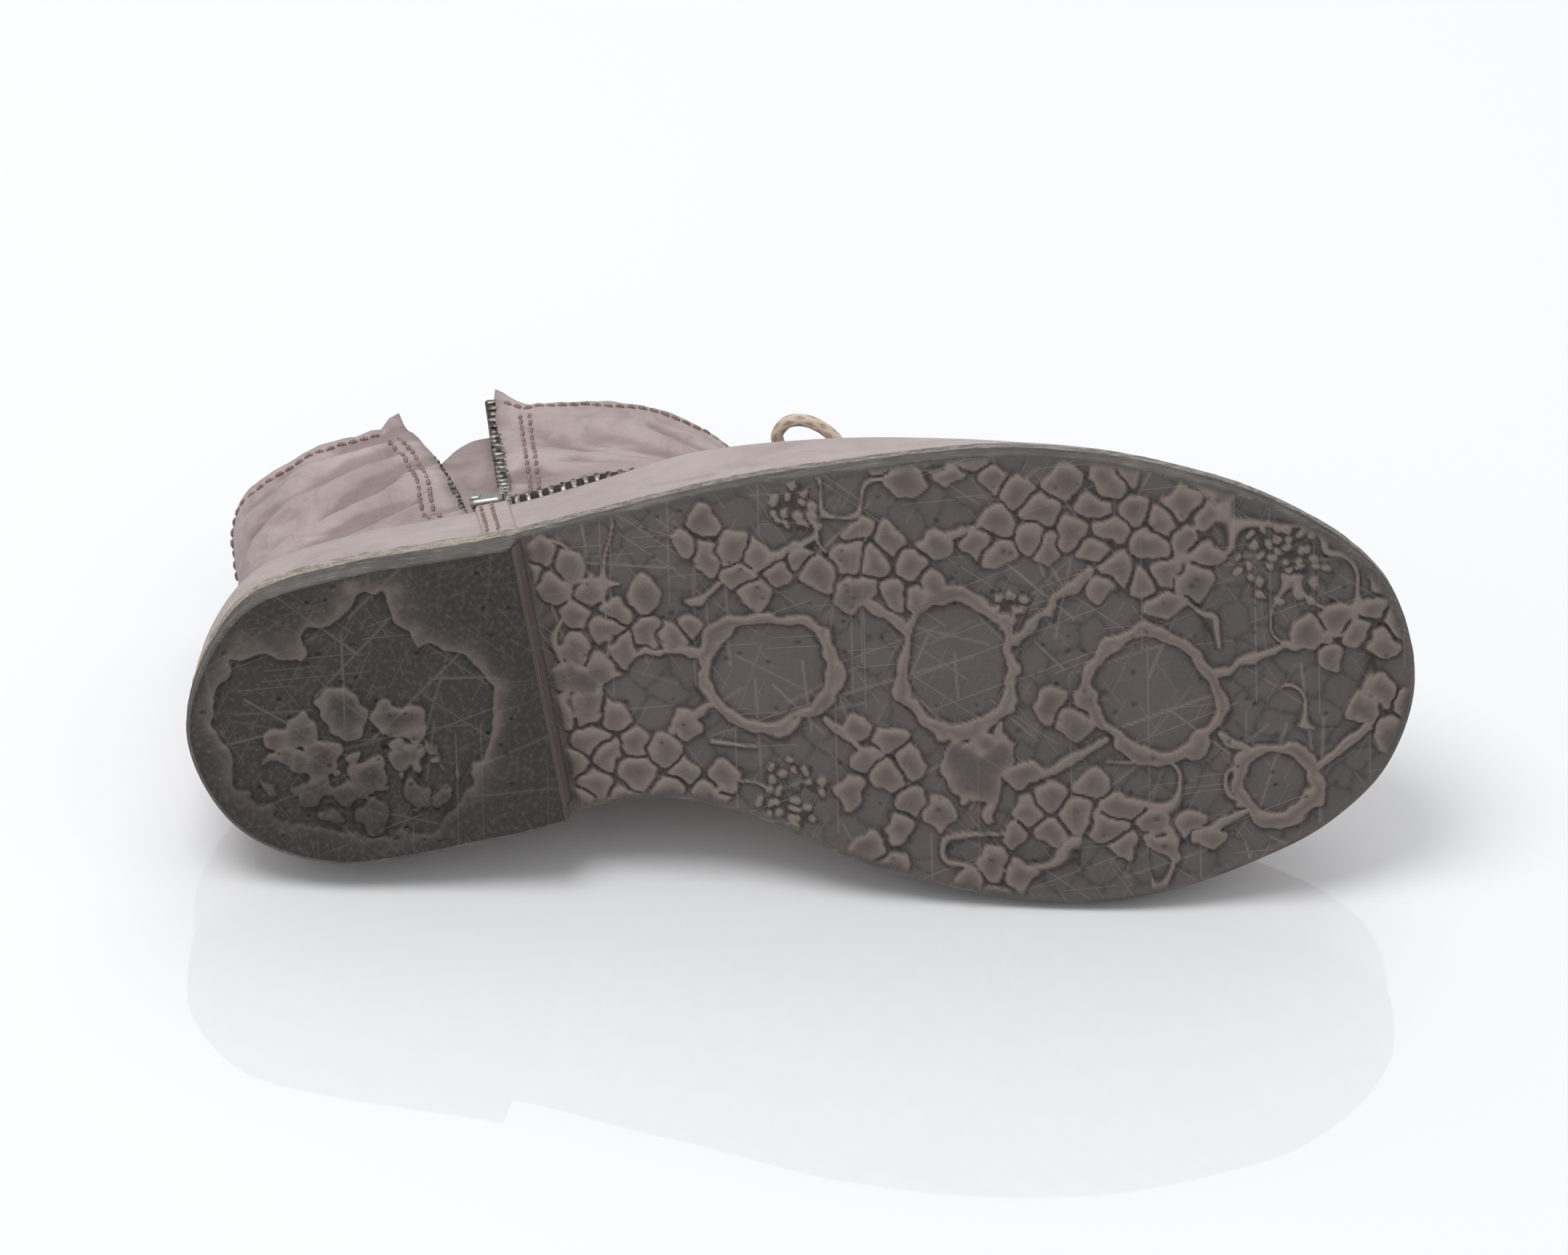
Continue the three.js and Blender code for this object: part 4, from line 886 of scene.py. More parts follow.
stacked_board = board.end(Base_Color=tone, Roughness=0.85,
                          Normal=board.bump(fibre + speck * 0.5, 0.0006, 0.8))
midsole_edge = build(
    "midsole_edge", stack_points,
    grid_faces(len(stack_points), len(WALL_TURNS), around=True, turned=True), stacked_board,
    {"pale": np.tile(pale, len(stack_points))})
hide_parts("midsole")

# Upper: one soft leather wall over a last, lined, with a smooth low band of thicker leather around
# its foot. The shaft is slack and creased, cut raw at the collar and sewn down beside its zips.
WALL, BAND, TRIM_WIDTH, THROAT_HALF = 1.9, 0.9, 3, 9
EDGE_INSET, FORE_START, FORE_POWER, OVAL_POWER = 3.4, 0.22, 1.15, 2.5
BAND_RING, COLLAR_RING, THROAT_RING = 4, 11, 6.1
RINGS = np.array([
    # back, its height, nose, its height, follow, heel fit, nose fit, oval, outer, inner, axis
    (0.0127, 0.1275, 0.9873, 0.1525, 1, 1, 1, 0, 0.3, 0.3, -0.24, -0.12),
    (0.0085, 0.172, 0.991, 0.205, 1, 1.02, 0.98, 0, 0.3, 0.3, -0.24, -0.12),
    (0.006, 0.222, 0.981, 0.3, 0.6, 1.01, 0.87, 0, 0.3, 0.3, -0.23, -0.12),
    (0.006, 0.262, 0.93, 0.395, 0.25, 1, 0.75, 0, 0.3, 0.3, -0.23, -0.12),
    (0.0085, 0.3, 0.79, 0.48, 0, 1, 0.65, 0.05, 0.3, 0.34, -0.22, -0.12),
    (0.017, 0.37, 0.705, 0.555, 0, 0.97, 0.59, 0.3, 0.29, 0.34, -0.21, -0.12),
    (0.028, 0.45, 0.633, 0.635, 0, 0.94, 0.55, 0.6, 0.28, 0.322, -0.2, -0.115),
    (0.035, 0.535, 0.575, 0.715, 0, 0.9, 0.56, 0.85, 0.27, 0.296, -0.19, -0.11),
    (0.0355, 0.625, 0.53, 0.795, 0, 0.9, 0.56, 1, 0.265, 0.27, -0.18, -0.105),
    (0.032, 0.72, 0.496, 0.87, 0, 0.9, 0.56, 1, 0.265, 0.25, -0.175, -0.1),
    (0.027, 0.82, 0.474, 0.94, 0, 0.9, 0.56, 1, 0.266, 0.232, -0.17, -0.095),
    (0.023, 0.91, 0.463, 1, 0, 0.9, 0.56, 1, 0.268, 0.215, -0.17, -0.092)])
ZIP_REAR = np.array([(0.35, 0.227), (0.45, 0.2165), (0.6, 0.207), (0.77, 0.188), (1, 0.151),
                     (1.08, 0.139)]) * (SHAFT_HEIGHT, LENGTH)
ZIP_FRONT = np.array([(0.35, 0.2575), (0.45, 0.2575), (0.6, 0.254), (0.77, 0.248), (1, 0.24),
                      (1.08, 0.239)]) * (SHAFT_HEIGHT, LENGTH)
STRAP_OUTER, STRAP_INNER = (0.236, 0.272), (0.39, 0.435)

foot_line = edge_inset(np.linspace(0, 1, 4001), np.full(4001, EDGE_INSET))


def ring_at(number):
    low = np.clip(np.floor(number).astype(int), 0, COLLAR_RING - 1)
    step = (number - low)[..., None]
    a, b, c, d = (RINGS[np.clip(low + k, 0, COLLAR_RING)] for k in (-1, 0, 1, 2))
    leave, meet, rest = (c - a) / 2, (d - b) / 2, c - b
    return (b + leave * step + (3 * rest - 2 * leave - meet) * step ** 2
            + (leave + meet - 2 * rest) * step ** 3)


def plain_upper(turn, number):
    """Point on the smooth outside of the upper: x, out and up, in millimetres."""
    turn, number = np.broadcast_arrays(np.asarray(turn, float) % 1, np.asarray(number, float))
    over = np.maximum(number - COLLAR_RING, 0)[..., None]
    if over.max() > 0:
        top = plain_upper(turn, np.minimum(number, COLLAR_RING))
        below = plain_upper(turn, np.minimum(number, COLLAR_RING) - 0.2)
        return top + (top - below) * 5 * over
    ring = np.moveaxis(ring_at(number), -1, 0)
    back, back_up, nose, nose_up, follow, heel_fit, nose_fit, oval, outer, inner, rear, fore = ring
    base_x = np.interp(turn, np.linspace(0, 1, 4001), foot_line[:, 0])
    base_out = np.interp(turn, np.linspace(0, 1, 4001), foot_line[:, 1])
    first, tip = foot_line[0, 0], foot_line[2000, 0]
    start = FORE_START * LENGTH
    ahead = np.clip((base_x - start) / (tip - start), 0, 1) ** FORE_POWER
    behind = np.clip(1 - (base_x - first) / (start - first), 0, 1)
    x = base_x + behind * (back * LENGTH - first) + ahead * (nose * LENGTH - tip)
    along = np.clip((x - back * LENGTH) / ((nose - back) * LENGTH), 0, 1)
    up = (back_up * (1 - along) + nose_up * along) * SHAFT_HEIGHT
    up = up + follow * (sole_top(base_x) - sole_top(first) * (1 - along) - sole_top(tip) * along)
    share = base_x / LENGTH
    middle = (OUTLINE_BACK * (1 - share) + OUTLINE_TIP * share) * BALL_WIDTH
    foot = middle + (base_out - middle) * (heel_fit * (1 - ahead) + nose_fit * ahead)
    side = np.where(base_out > middle, outer, -inner)
    bow = np.maximum(0, 1 - np.abs(2 * along - 1) ** OVAL_POWER) ** (1 / OVAL_POWER)
    leg = (rear * (1 - along) + fore * along + side * bow) * BALL_WIDTH
    return np.stack([x, foot * (1 - oval) + leg * oval, up], -1)


def plain_normal(turn, number):
    high = np.minimum(number + 0.05, COLLAR_RING)
    low = np.maximum(np.minimum(number, COLLAR_RING) - 0.05, 0)
    around = plain_upper(turn + 0.004, np.minimum(number, COLLAR_RING)) - plain_upper(
        turn - 0.004, np.minimum(number, COLLAR_RING))
    upward = plain_upper(turn, high) - plain_upper(turn, low)
    normal = np.cross(upward, around)
    return normal / np.linalg.norm(normal, axis=-1, keepdims=True)


def band_line(x, lift):
    back, back_up, nose, nose_up = RINGS[BAND_RING, :4]
    slope = (nose_up - back_up) * SHAFT_HEIGHT / ((nose - back) * LENGTH)
    return back_up * SHAFT_HEIGHT + slope * (x - back * LENGTH) + lift * np.hypot(1, slope)


def number_above_band(turn, lift):
    low = np.full(np.shape(turn), BAND_RING - 1.0)
    high = low + 4
    for _ in range(20):
        middle = (low + high) / 2
        point = plain_upper(turn, middle)
        under = point[..., 2] < band_line(point[..., 0], lift)
        low, high = np.where(under, middle, low), np.where(under, high, middle)
    return (low + high) / 2


CREASES = [  # side, x and up at both ends, half width, depth
    (1, 16, 34, 46, 54, 3.6, 1.2), (1, 8, 52, 36, 66, 4.5, 1.1), (1, 14, 74, 40, 84, 4, 0.9),
    (1, 30, 37, 52, 45, 2.6, 0.8), (1, 6, 66, 18, 92, 4, 0.7), (1, 30, 62, 50, 78, 3.4, 0.8),
    (1, 22, 90, 42, 93, 3, 0.5), (1, 4, 40, 14, 50, 3, 0.8), (1, 26, 48, 50, 60, 2.4, 0.6),
    (1, 72, 62, 106, 57, 5, 0.8), (1, 76, 86, 110, 76, 5, 0.7), (1, 92, 46, 120, 54, 4, 0.9),
    (1, 71, 49, 88, 46, 2.6, 0.5), (1, 80, 72, 118, 68, 3.4, 0.6), (1, 100, 92, 116, 82, 3, 0.5),
    (1, 118, 58, 142, 56, 4, 0.9), (1, 126, 50, 150, 52, 3.5, 0.7),
    (-1, 14, 42, 60, 46, 5, 1.1), (-1, 20, 60, 66, 72, 5, 1.0), (-1, 64, 52, 110, 58, 5, 1.0),
    (-1, 70, 80, 104, 70, 4, 0.9), (-1, 10, 80, 44, 90, 4, 0.8), (-1, 104, 46, 140, 54, 4, 0.9),
    (-1, 120, 60, 146, 57, 3.5, 0.8)]
FLEX = [(150, 4.5, 0.9, 0.25), (161, 4, 0.7, -0.2), (172, 3.5, 0.45, 0.15)]  # across the vamp


def slackness(points, normal):
    """How far the slack leather stands off the smooth form, in millimetres."""
    x, out, up = np.moveaxis(points, -1, 0)
    side = np.where(normal[..., 1] > 0, 1, -1)
    above = ease(up - band_line(x, 0), 1, 9)
    round_leg = np.arctan2(out + 17, x - 62) * 46
    slant = round_leg * 0.45 + up * 0.9
    total = above * (0.8 * rough(round_leg, up, 24, 61) + 0.5 * rough(slant, up * 1.6, 9, 62)
                     + 0.32 * rough(slant, up * 1.9 - round_leg * 0.9, 4.2, 63)
                     + 0.12 * rough(slant * 1.2, up * 2.2 - round_leg, 1.9, 67))
    total += (1 - above) * 0.16 * rough(round_leg, up, 12, 64)
    for which, x1, up1, x2, up2, half, depth in CREASES:
        wander = 1.6 * rough(x, up, 11, 65)
        gap = to_segment(x + wander, up + wander, x1, up1, x2, up2)
        fade = ease(normal[..., 1] * which, 0.05, 0.5)
        shape = -np.exp(-(gap / half) ** 2) + 0.5 * np.exp(-((gap - 2 * half) / half) ** 2)
        total += above * fade * 1.5 * depth * shape
    total += 3.4 * np.exp(-((x - 86) / 24) ** 2 - ((up - 104) / 20) ** 2) * (side > 0)
    beside = np.abs(x - np.interp(up, ZIP_FRONT[:, 0], ZIP_FRONT[:, 1]))
    beside = np.minimum(beside, np.abs(x - np.interp(up, ZIP_REAR[:, 0], ZIP_REAR[:, 1])))
    total *= np.where(side > 0, 0.25 + 0.75 * ease(beside, 0.5, 7), 1)
    for at_x, half, depth, lean in FLEX:
        gap = np.abs(x - at_x - lean * (out + 12) - 1.5 * rough(out, up, 12, 66))
        total += -depth * np.exp(-(gap / half) ** 2) * ease(normal[..., 2], 0.35, 0.75) * ease(
            up, 38, 46)
    return total


def ears(points):
    """Lift of the leather where its corners curl over at the top of the outer zip."""
    x, out, up = np.moveaxis(points, -1, 0)
    move = np.zeros(points.shape)
    for edge, reach, push in ((ZIP_REAR, 4.6, (-2.2, 5.5, 7.2)), (ZIP_FRONT, 7, (-1.2, 5.5, 7.0))):
        corner = np.interp(99, edge[:, 0], edge[:, 1])
        gap = np.hypot(x - corner, (up - 102) * 0.5)
        weight = np.clip(1 - gap / reach, 0, 1) ** 1.3 * (out > -14)
        move += weight[..., None] * np.array(push)
    return move


def upper_at(turn, number, lift=0.0):
    plain = plain_upper(turn, number)
    normal = plain_normal(turn, number)
    height = slackness(plain, normal) + lift
    return plain + normal * height[..., None] + ears(plain), normal


def place_on_side(x, up, outer=True, passes=30):
    """Turn and ring number at a place in the side view."""
    x, up = np.broadcast_arrays(np.asarray(x, float), np.asarray(up, float))
    turn = np.full(x.shape, 0.25 if outer else 0.75)
    number = np.full(x.shape, 7.0)
    for _ in range(passes):
        here = plain_upper(turn, number)
        dt, dn = 0.002, 0.05
        by_turn = (plain_upper(turn + dt, number) - here) / dt
        by_number = (plain_upper(turn, np.minimum(number + dn, COLLAR_RING + 0.5)) - here) / dn
        a, b, c, d = by_turn[..., 0], by_number[..., 0], by_turn[..., 2], by_number[..., 2]
        miss_x, miss_up = x - here[..., 0], up - here[..., 2]
        scale = a * d - b * c
        scale = np.where(np.abs(scale) < 1e-6, 1e-6, scale)
        step_turn = np.clip((d * miss_x - b * miss_up) / scale, -0.03, 0.03)
        step_number = np.clip((a * miss_up - c * miss_x) / scale, -0.6, 0.6)
        turn = np.clip(turn + 0.8 * step_turn, *((0.003, 0.497) if outer else (0.503, 0.997)))
        number = np.clip(number + 0.8 * step_number, 0, COLLAR_RING + 0.4)
    return turn, number


def leather_finish(name, light, middle, dark, streaks, gloss):
    """Washed leather: cloudy colour, brushed streaks, pores, fine wrinkles and painted shade in the
    hollows of its creases.
    """
    hide = Finish(name)
    cloud = hide.noise(26, 5, 0.6)
    fog = hide.noise(70, 4, 0.7, distortion=0.6)
    brushed = hide.noise(1, 4, 0.65, hide.stretched((60, 150, 330), (0.5, 0.35, 0.2)))
    pores = hide.node("ShaderNodeTexVoronoi", {}, {"Vector": hide.place(), "Scale": 1150})
    wrinkle = hide.noise(1, 5, 0.7, hide.stretched((210, 420, 520), (0.3, 0.5, 0.4)))
    tone = hide.mix(cloud.between(0.3, 0.72), middle, light)
    tone = hide.mix(fog.between(0.45, 0.8) * 0.65, tone, dark)
    tone = hide.mix(brushed.between(0.5, 0.75) * streaks, tone, light)
    tone = hide.mix(wrinkle.between(0.55, 0.75) * 0.3, tone, dark)
    # painted shade: darker in the hollows of the creases
    tone = hide.mix(hide.attribute("hollow") * 0.6, tone, dark)
    relief = pores * 0.22 + wrinkle * 0.75 + brushed * 0.3
    return hide.end(Base_Color=tone, Roughness=gloss + cloud * 0.12,
                    Normal=hide.bump(relief, 0.00045, 0.75))


shaft_leather = leather_finish("shaft_leather", colour(180, 166, 164), colour(150, 134, 133),
                               colour(118, 99, 99), 0.55, 0.5)
band_leather = leather_finish("band_leather", colour(178, 165, 162), colour(160, 145, 142),
                              colour(136, 118, 116), 0.4, 0.42)
raw = Finish("raw_edge")
fuzz = raw.noise(1300, 4, 0.7)
raw_edge = raw.end(Base_Color=raw.mix(fuzz.between(0.3, 0.7), colour(150, 128, 120),
                                      colour(206, 190, 180)), Roughness=0.95,
                   Normal=raw.bump(fuzz, 0.0006, 1.0))
inside = Finish("lining")
nap = inside.noise(420, 4, 0.65)
lining = inside.end(Base_Color=inside.mix(nap.between(0.3, 0.7), colour(122, 98, 92),
                                          colour(150, 124, 116)), Roughness=0.85,
                    Normal=inside.bump(nap, 0.0004, 0.6))

# the low band, a closed skin from the feather edge to its cut top edge
BAND_TURNS = np.linspace(0, 1, 900, endpoint=False)
top_number = number_above_band(BAND_TURNS, 0.0)
band_rows = []
for share in np.linspace(0, 1, 46):
    number = top_number * share
    swell = BAND * (1 + 0.25 * math.sin(math.pi * share))
    flat = plain_upper(BAND_TURNS, number)
    bulge = 1.3 * ease(flat[:, 0], 86, 112) * (BAND_TURNS < 0.5) * ease(share, 0.35, 0.85)
    points, _ = upper_at(BAND_TURNS, number, swell + bulge)
    band_rows.append(points)
for lift, drop in ((0.72, 0.0), (0.45, -0.12), (0.1, -0.2), (-0.5, -0.6)):
    number = number_above_band(BAND_TURNS, drop * -0.25)
    points, _ = upper_at(BAND_TURNS, number, lift + bulge * (lift > 0.3))
    band_rows.append(points)
band_rows.append(upper_at(BAND_TURNS, top_number * 0.5, -0.6)[0])
foot = upper_at(BAND_TURNS, 0 * top_number, -0.6)[0]
band_rows.append(foot)
band_points = np.array(band_rows)
low_band = build("low_band", laid(*np.moveaxis(band_points, -1, 0)),
                 grid_faces(len(band_points), 900, around=True), band_leather)

# the shaft and vamp, a sheet that ends at the zip, the throat and the collar
ROWS_LOW, ROWS_HIGH = 46, 64
COLUMNS = (96, 14, 226)
sample = np.linspace(0.02, 0.98, 1200)
TRIM_FROM, TRIM_TO = STRAP_OUTER[1] * LENGTH, STRAP_INNER[1] * LENGTH
shaft_turns, shaft_numbers = [], []
plain = plain_upper(sample, number_above_band(sample, 0.0))
past_strap = np.where(sample < 0.5, ease(plain[:, 0], TRIM_FROM - 1.5, TRIM_FROM - 0.5),
                      ease(plain[:, 0], TRIM_TO - 1.5, TRIM_TO - 0.5))
first_number = number_above_band(sample, -0.7 + (TRIM_WIDTH + 0.75) * past_strap)
for row in range(ROWS_LOW + ROWS_HIGH):
    if row < ROWS_LOW:
        share = (row / (ROWS_LOW - 1)) ** 1.25
        number = first_number * (1 - share) + THROAT_RING * share
    else:
        share = (row - ROWS_LOW + 1) / ROWS_HIGH
        number = np.full(sample.shape, THROAT_RING * (1 - share) + COLLAR_RING * share)
    line = plain_upper(sample, number)
    outer_half = (sample < 0.47) & (sample > 0.03)
    ragged = 0.9 * rough(line[:, 2], 0 * line[:, 2], 7, 73) + 0.4 * rough(
        line[:, 2], 0 * line[:, 2], 2.6, 74)
    ragged *= ease(line[:, 2], 42, 52)
    front_gap = line[:, 0] - ragged - np.interp(line[:, 2], ZIP_FRONT[:, 0], ZIP_FRONT[:, 1])
    rear_gap = line[:, 0] + ragged - np.interp(line[:, 2], ZIP_REAR[:, 0], ZIP_REAR[:, 1])
    front = np.interp(0, front_gap[outer_half], sample[outer_half])
    rear = np.interp(0, rear_gap[outer_half], sample[outer_half])
    run = run_along(line)
    nose = np.interp(0.5, sample, run)
    half = THROAT_HALF * np.interp(number.mean(), (6.1, 6.7, 7.8, 9, 11), (0.45, 0.85, 1, 1, 1.05))
    half_low = THROAT_HALF * 0.45
    half = half if row >= ROWS_LOW else half_low
    side_out, side_in = np.interp((nose - half, nose + half), run, sample)
    blocks = [np.linspace(front, side_out, COLUMNS[0], endpoint=False),
              np.linspace(side_out, side_in, COLUMNS[1], endpoint=False),
              np.linspace(side_in, 1 + rear, COLUMNS[2])]
    turns = np.concatenate(blocks)
    wrapped = np.concatenate([sample, sample + 1])
    both = np.concatenate([number, number])
    shaft_turns.append(turns)
    shaft_numbers.append(np.interp(turns, wrapped, both))
shaft_turns, shaft_numbers = np.array(shaft_turns), np.array(shaft_numbers)
ragged = 0.035 * rough(shaft_turns * 300, 0 * shaft_turns, 3.5, 71)
shaft_numbers[-1] += ragged[-1] + 0.03
shaft_plain = plain_upper(shaft_turns, shaft_numbers)
above_line = shaft_plain[..., 2] - band_line(shaft_plain[..., 0], TRIM_WIDTH)
ahead = np.where((shaft_turns % 1) < 0.5, ease(shaft_plain[..., 0], TRIM_FROM - 2, TRIM_FROM),
                 ease(shaft_plain[..., 0], TRIM_TO - 2, TRIM_TO))
lip = 0.8 * ahead * ease(-above_line, -3.2, -0.4)
shaft_points, shaft_normal = upper_at(shaft_turns, shaft_numbers, lip)
columns = sum(COLUMNS)
folds = slackness(shaft_plain, shaft_normal)
around = (folds + np.roll(folds, 4, 0) + np.roll(folds, -4, 0) + np.roll(folds, 7, 1)
          + np.roll(folds, -7, 1)) / 5
# painted shade mask: the leather is coloured darker where it lies lower than around it, in the hollows
# of its creases
hollow = np.clip((around - folds) * 2.2, 0, 1)
hollow[:5] = hollow[-5:] = 0
faces = [face for k, face in enumerate(grid_faces(*shaft_turns.shape))
         if not (k // (columns - 1) >= ROWS_LOW - 1
                 and COLUMNS[0] <= k % (columns - 1) < COLUMNS[0] + COLUMNS[1])]
shaft = build("shaft", laid(*np.moveaxis(shaft_points, -1, 0)), faces, shaft_leather,
              {"hollow": hollow})
mesh = shaft.data
mesh.materials.append(lining)
mesh.materials.append(raw_edge)
thick = shaft.modifiers.new("wall", "SOLIDIFY")
thick.thickness = (WALL - 0.1) / 1000
thick.offset = -1
thick.material_offset = 1
thick.material_offset_rim = 2
bpy.context.view_layer.objects.active = shaft
bpy.ops.object.modifier_apply(modifier="wall")
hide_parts("upper")

# Straps and stitching: a short leather strap is sewn over the band at the foot of each zip. All
# seams are coarse twisted thread that sits in the leather.
STRAP_THICK = 0.8


def closed_sheet(face, back):
    """Points and faces of a sheet from the grids of its face and its back, closed at its rim."""
    rows, columns = face.shape[:2]
    count = rows * columns
    faces = grid_faces(rows, columns) + grid_faces(rows, columns, turned=True, start=count)
    loop = (list(range(columns)) + [i * columns + columns - 1 for i in range(1, rows)]
            + [(rows - 1) * columns + j for j in range(columns - 2, -1, -1)]
            + [i * columns for i in range(rows - 2, 0, -1)])
    faces += [[a, b, b + count, a + count] for a, b in zip(loop, loop[1:] + loop[:1])]
    return np.concatenate([face.reshape(-1, 3), back.reshape(-1, 3)]), faces


def strap_patch(name, rear, front, lean, outer):
    """A strap on the band, from its upper end down to the sole."""
    rows, columns = 34, 16
    share = np.linspace(1, 0, rows)[:, None]
    across = np.linspace(0, 1, columns)[None, :]
    x = (rear + (front - rear) * across) + lean * (1 - share)
    top = band_line(x, 0.9)
    foot = sole_top(x) + 0.4
    up = foot + (top - foot) * share
    turn, number = place_on_side(x, up, outer)
    rim = np.minimum(np.minimum(across, 1 - across) * (front - rear), 0 * share + 9)
    rim = np.minimum(rim, share * (top - foot))
    puff = STRAP_THICK * ease(rim, -0.2, 0.7) + 0.1 * rough(x * 1.0, up, 3, 81)
    face, _ = upper_at(turn, number, BAND * 1.2 + puff)
    back, _ = upper_at(turn, number, BAND * 0.4)
    points, faces = closed_sheet(face, back)
    strap = build(name, laid(*points.T), faces, band_leather)
    recalculate(strap)
    return strap


strap_patch("strap_outer", 61.6, 69.2, 2.6, True)
strap_patch("strap_inner", STRAP_INNER[0] * LENGTH, STRAP_INNER[1] * LENGTH, -6, False)

thread = Finish("thread")
ply = thread.noise(1, 2, 0.5, thread.stretched((2600, 900, 1600), (0.3, 0.8, 0.2)))
thread = thread.end(Base_Color=thread.mix(ply.between(0.35, 0.65), colour(112, 92, 87),
                                          colour(154, 131, 123)), Roughness=0.8,
                    Normal=thread.bump(ply, 0.0002, 0.8))


def seats(points, normals, run, spots, reach):
    """Places on a line at some lengths along it, with the ways along, out and to the side."""
    at, ahead = at_spots(spots, run, points), at_spots(spots + reach, run, points)
    out = at_spots(spots, run, normals)
    along = ahead - at
    along[-1] = along[-2]
    along /= np.linalg.norm(along, axis=1, keepdims=True)
    out -= along * (out * along).sum(1, keepdims=True)
    out /= np.linalg.norm(out, axis=1, keepdims=True)
    return at, along, out, np.cross(out, along)


def stitch_row(points, normals, long, pitch, thick, slant=0.0):
    """Points and faces of stitches along a line on the leather, all in millimetres."""
    run = run_along(points)
    spots = np.arange(pitch / 2, run[-1] - pitch / 4, pitch)
    at, along, out, side = seats(points, normals, run, spots, 0.4)
    along, side = along * math.cos(slant) + side * math.sin(slant), (
        side * math.cos(slant) - along * math.sin(slant))
    stations = [(-0.5, 0.35, -0.45), (-0.42, 0.85, 0.05), (-0.15, 1.0, 0.42), (0.15, 1.0, 0.42),
                (0.42, 0.85, 0.05), (0.5, 0.35, -0.45)]
    around = 6
    shell = []
    for share, wide, lift in stations:
        for k in range(around):
            angle = 2 * math.pi * k / around
            shell.append(at + along * share * long + side * math.cos(angle) * wide * thick
                         + out * (lift * thick + math.sin(angle) * wide * thick * 0.8))
    shell = np.array(shell).transpose(1, 0, 2)
    faces = [[i * around + k, (i + 1) * around + k, (i + 1) * around + (k + 1) % around,
              i * around + (k + 1) % around] for i in range(5) for k in range(around)]
    faces += [list(range(around)), list(range(5 * around, 6 * around))[::-1]]
    count = 6 * around
    every = [[n * count + k for k in face] for n in range(len(shell)) for face in faces]
    return shell.reshape(-1, 3), every


def sewn(name, rows):
    """One piece of thread out of several rows of stitches."""
    shells, faces, start = [], [], 0
    for row in rows:
        shell, quads = stitch_row(*row)
        faces += [[start + k for k in face] for face in quads]
        start += len(shell)
        shells.append(shell)
    piece = build(name, laid(*np.vstack(shells).T), faces, thread)
    recalculate(piece)
    return piece


def seam_on_side(x, up, outer=True, lift=0.0):
    turn, number = place_on_side(x, up, outer)
    return upper_at(turn, number, lift)


rows = []
heights = np.linspace(37.5, 95, 60)
front_edge = np.interp(heights, ZIP_FRONT[:, 0], ZIP_FRONT[:, 1])
for offset in (4.7, 6.7):
    rows.append((*seam_on_side(front_edge + offset, heights), 2.2, 2.7, 0.42, 0.12))
heights = np.linspace(37, 91, 60)
rear_edge = np.interp(heights, ZIP_REAR[:, 0], ZIP_REAR[:, 1])
for offset in (3.4, 5.8):
    rows.append((*seam_on_side(rear_edge - offset - 2.6 * ease(heights, 85, 40), heights),
                 2.2, 2.7, 0.45, 0.15))
sewn("zip_seams", rows)

# the row inside the raw collar edge, and the rows down the throat
rear_limit, front_limit = shaft_turns[-1][-1], shaft_turns[-1][0]
collar_turns = [np.linspace(front_limit + 0.003, shaft_turns[-1][COLUMNS[0]] - 0.006, 160),
                np.linspace(shaft_turns[-1][COLUMNS[0] + COLUMNS[1]] + 0.006, rear_limit - 0.004,
                            420)]
rows = []
for turns in collar_turns:
    waver = 0.06 * rough(turns * 300, 0 * turns, 9, 72)
    rows.append((*upper_at(turns, COLLAR_RING - 0.36 + waver), 2.3, 2.6, 0.5, 0.2))
sewn("collar_seam", rows)

rows = []
for shift, edge in ((-1, COLUMNS[0]), (1, COLUMNS[0] + COLUMNS[1])):
    part = slice(ROWS_LOW, ROWS_LOW + ROWS_HIGH - 3)
    for offset in (0.0065, 0.0115):
        rows.append((*upper_at(shaft_turns[part, edge] + shift * offset, shaft_numbers[part, edge]),
                     1.9, 2.5, 0.4))
sewn("throat_seams", rows)

# the fine row on the lip over the trim, and the rows across both straps
lip_turns = np.linspace(0.13, 0.82, 1000)
lip_plain = plain_upper(lip_turns, number_above_band(lip_turns, TRIM_WIDTH + 1.5))
inside_straps = np.where(lip_turns < 0.5, lip_plain[:, 0] > 71, lip_plain[:, 0] > TRIM_TO + 1)
lip_turns = lip_turns[inside_straps]
lip_numbers = number_above_band(lip_turns, TRIM_WIDTH + 1.5)
rows = [(*upper_at(lip_turns, lip_numbers, 0.72), 1.7, 2.2, 0.34)]
for outer, starts, lean in ((True, (62.9, 65.3), 2.6), (False, (107, 109.6, 112.2), -6)):
    for x in starts:
        share = np.linspace(0.98, 0.06, 30)
        line_x = x + lean * (1 - share)
        line_up = sole_top(line_x) + (band_line(line_x, 0.9) - sole_top(line_x)) * share
        turn, number = place_on_side(line_x, line_up, outer)
        rows.append((*upper_at(turn, number, BAND * 1.2 + STRAP_THICK), 1.9, 2.4, 0.4, 0.2))
sewn("strap_and_lip_seams", rows)

# Tongue: a padded leather strip under the throat, sewn in at its foot, its edges turned and bound.
def nose_place(number, distance):
    """Turn at a distance around a ring from its nose, the outer side positive."""
    turns = np.linspace(0.25, 0.75, 1500)
    line = plain_upper(turns, np.full(turns.shape, number))
    run = run_along(line)
    nose = np.interp(0.5, turns, run)
    return np.interp(nose - np.asarray(distance, float), run, turns)


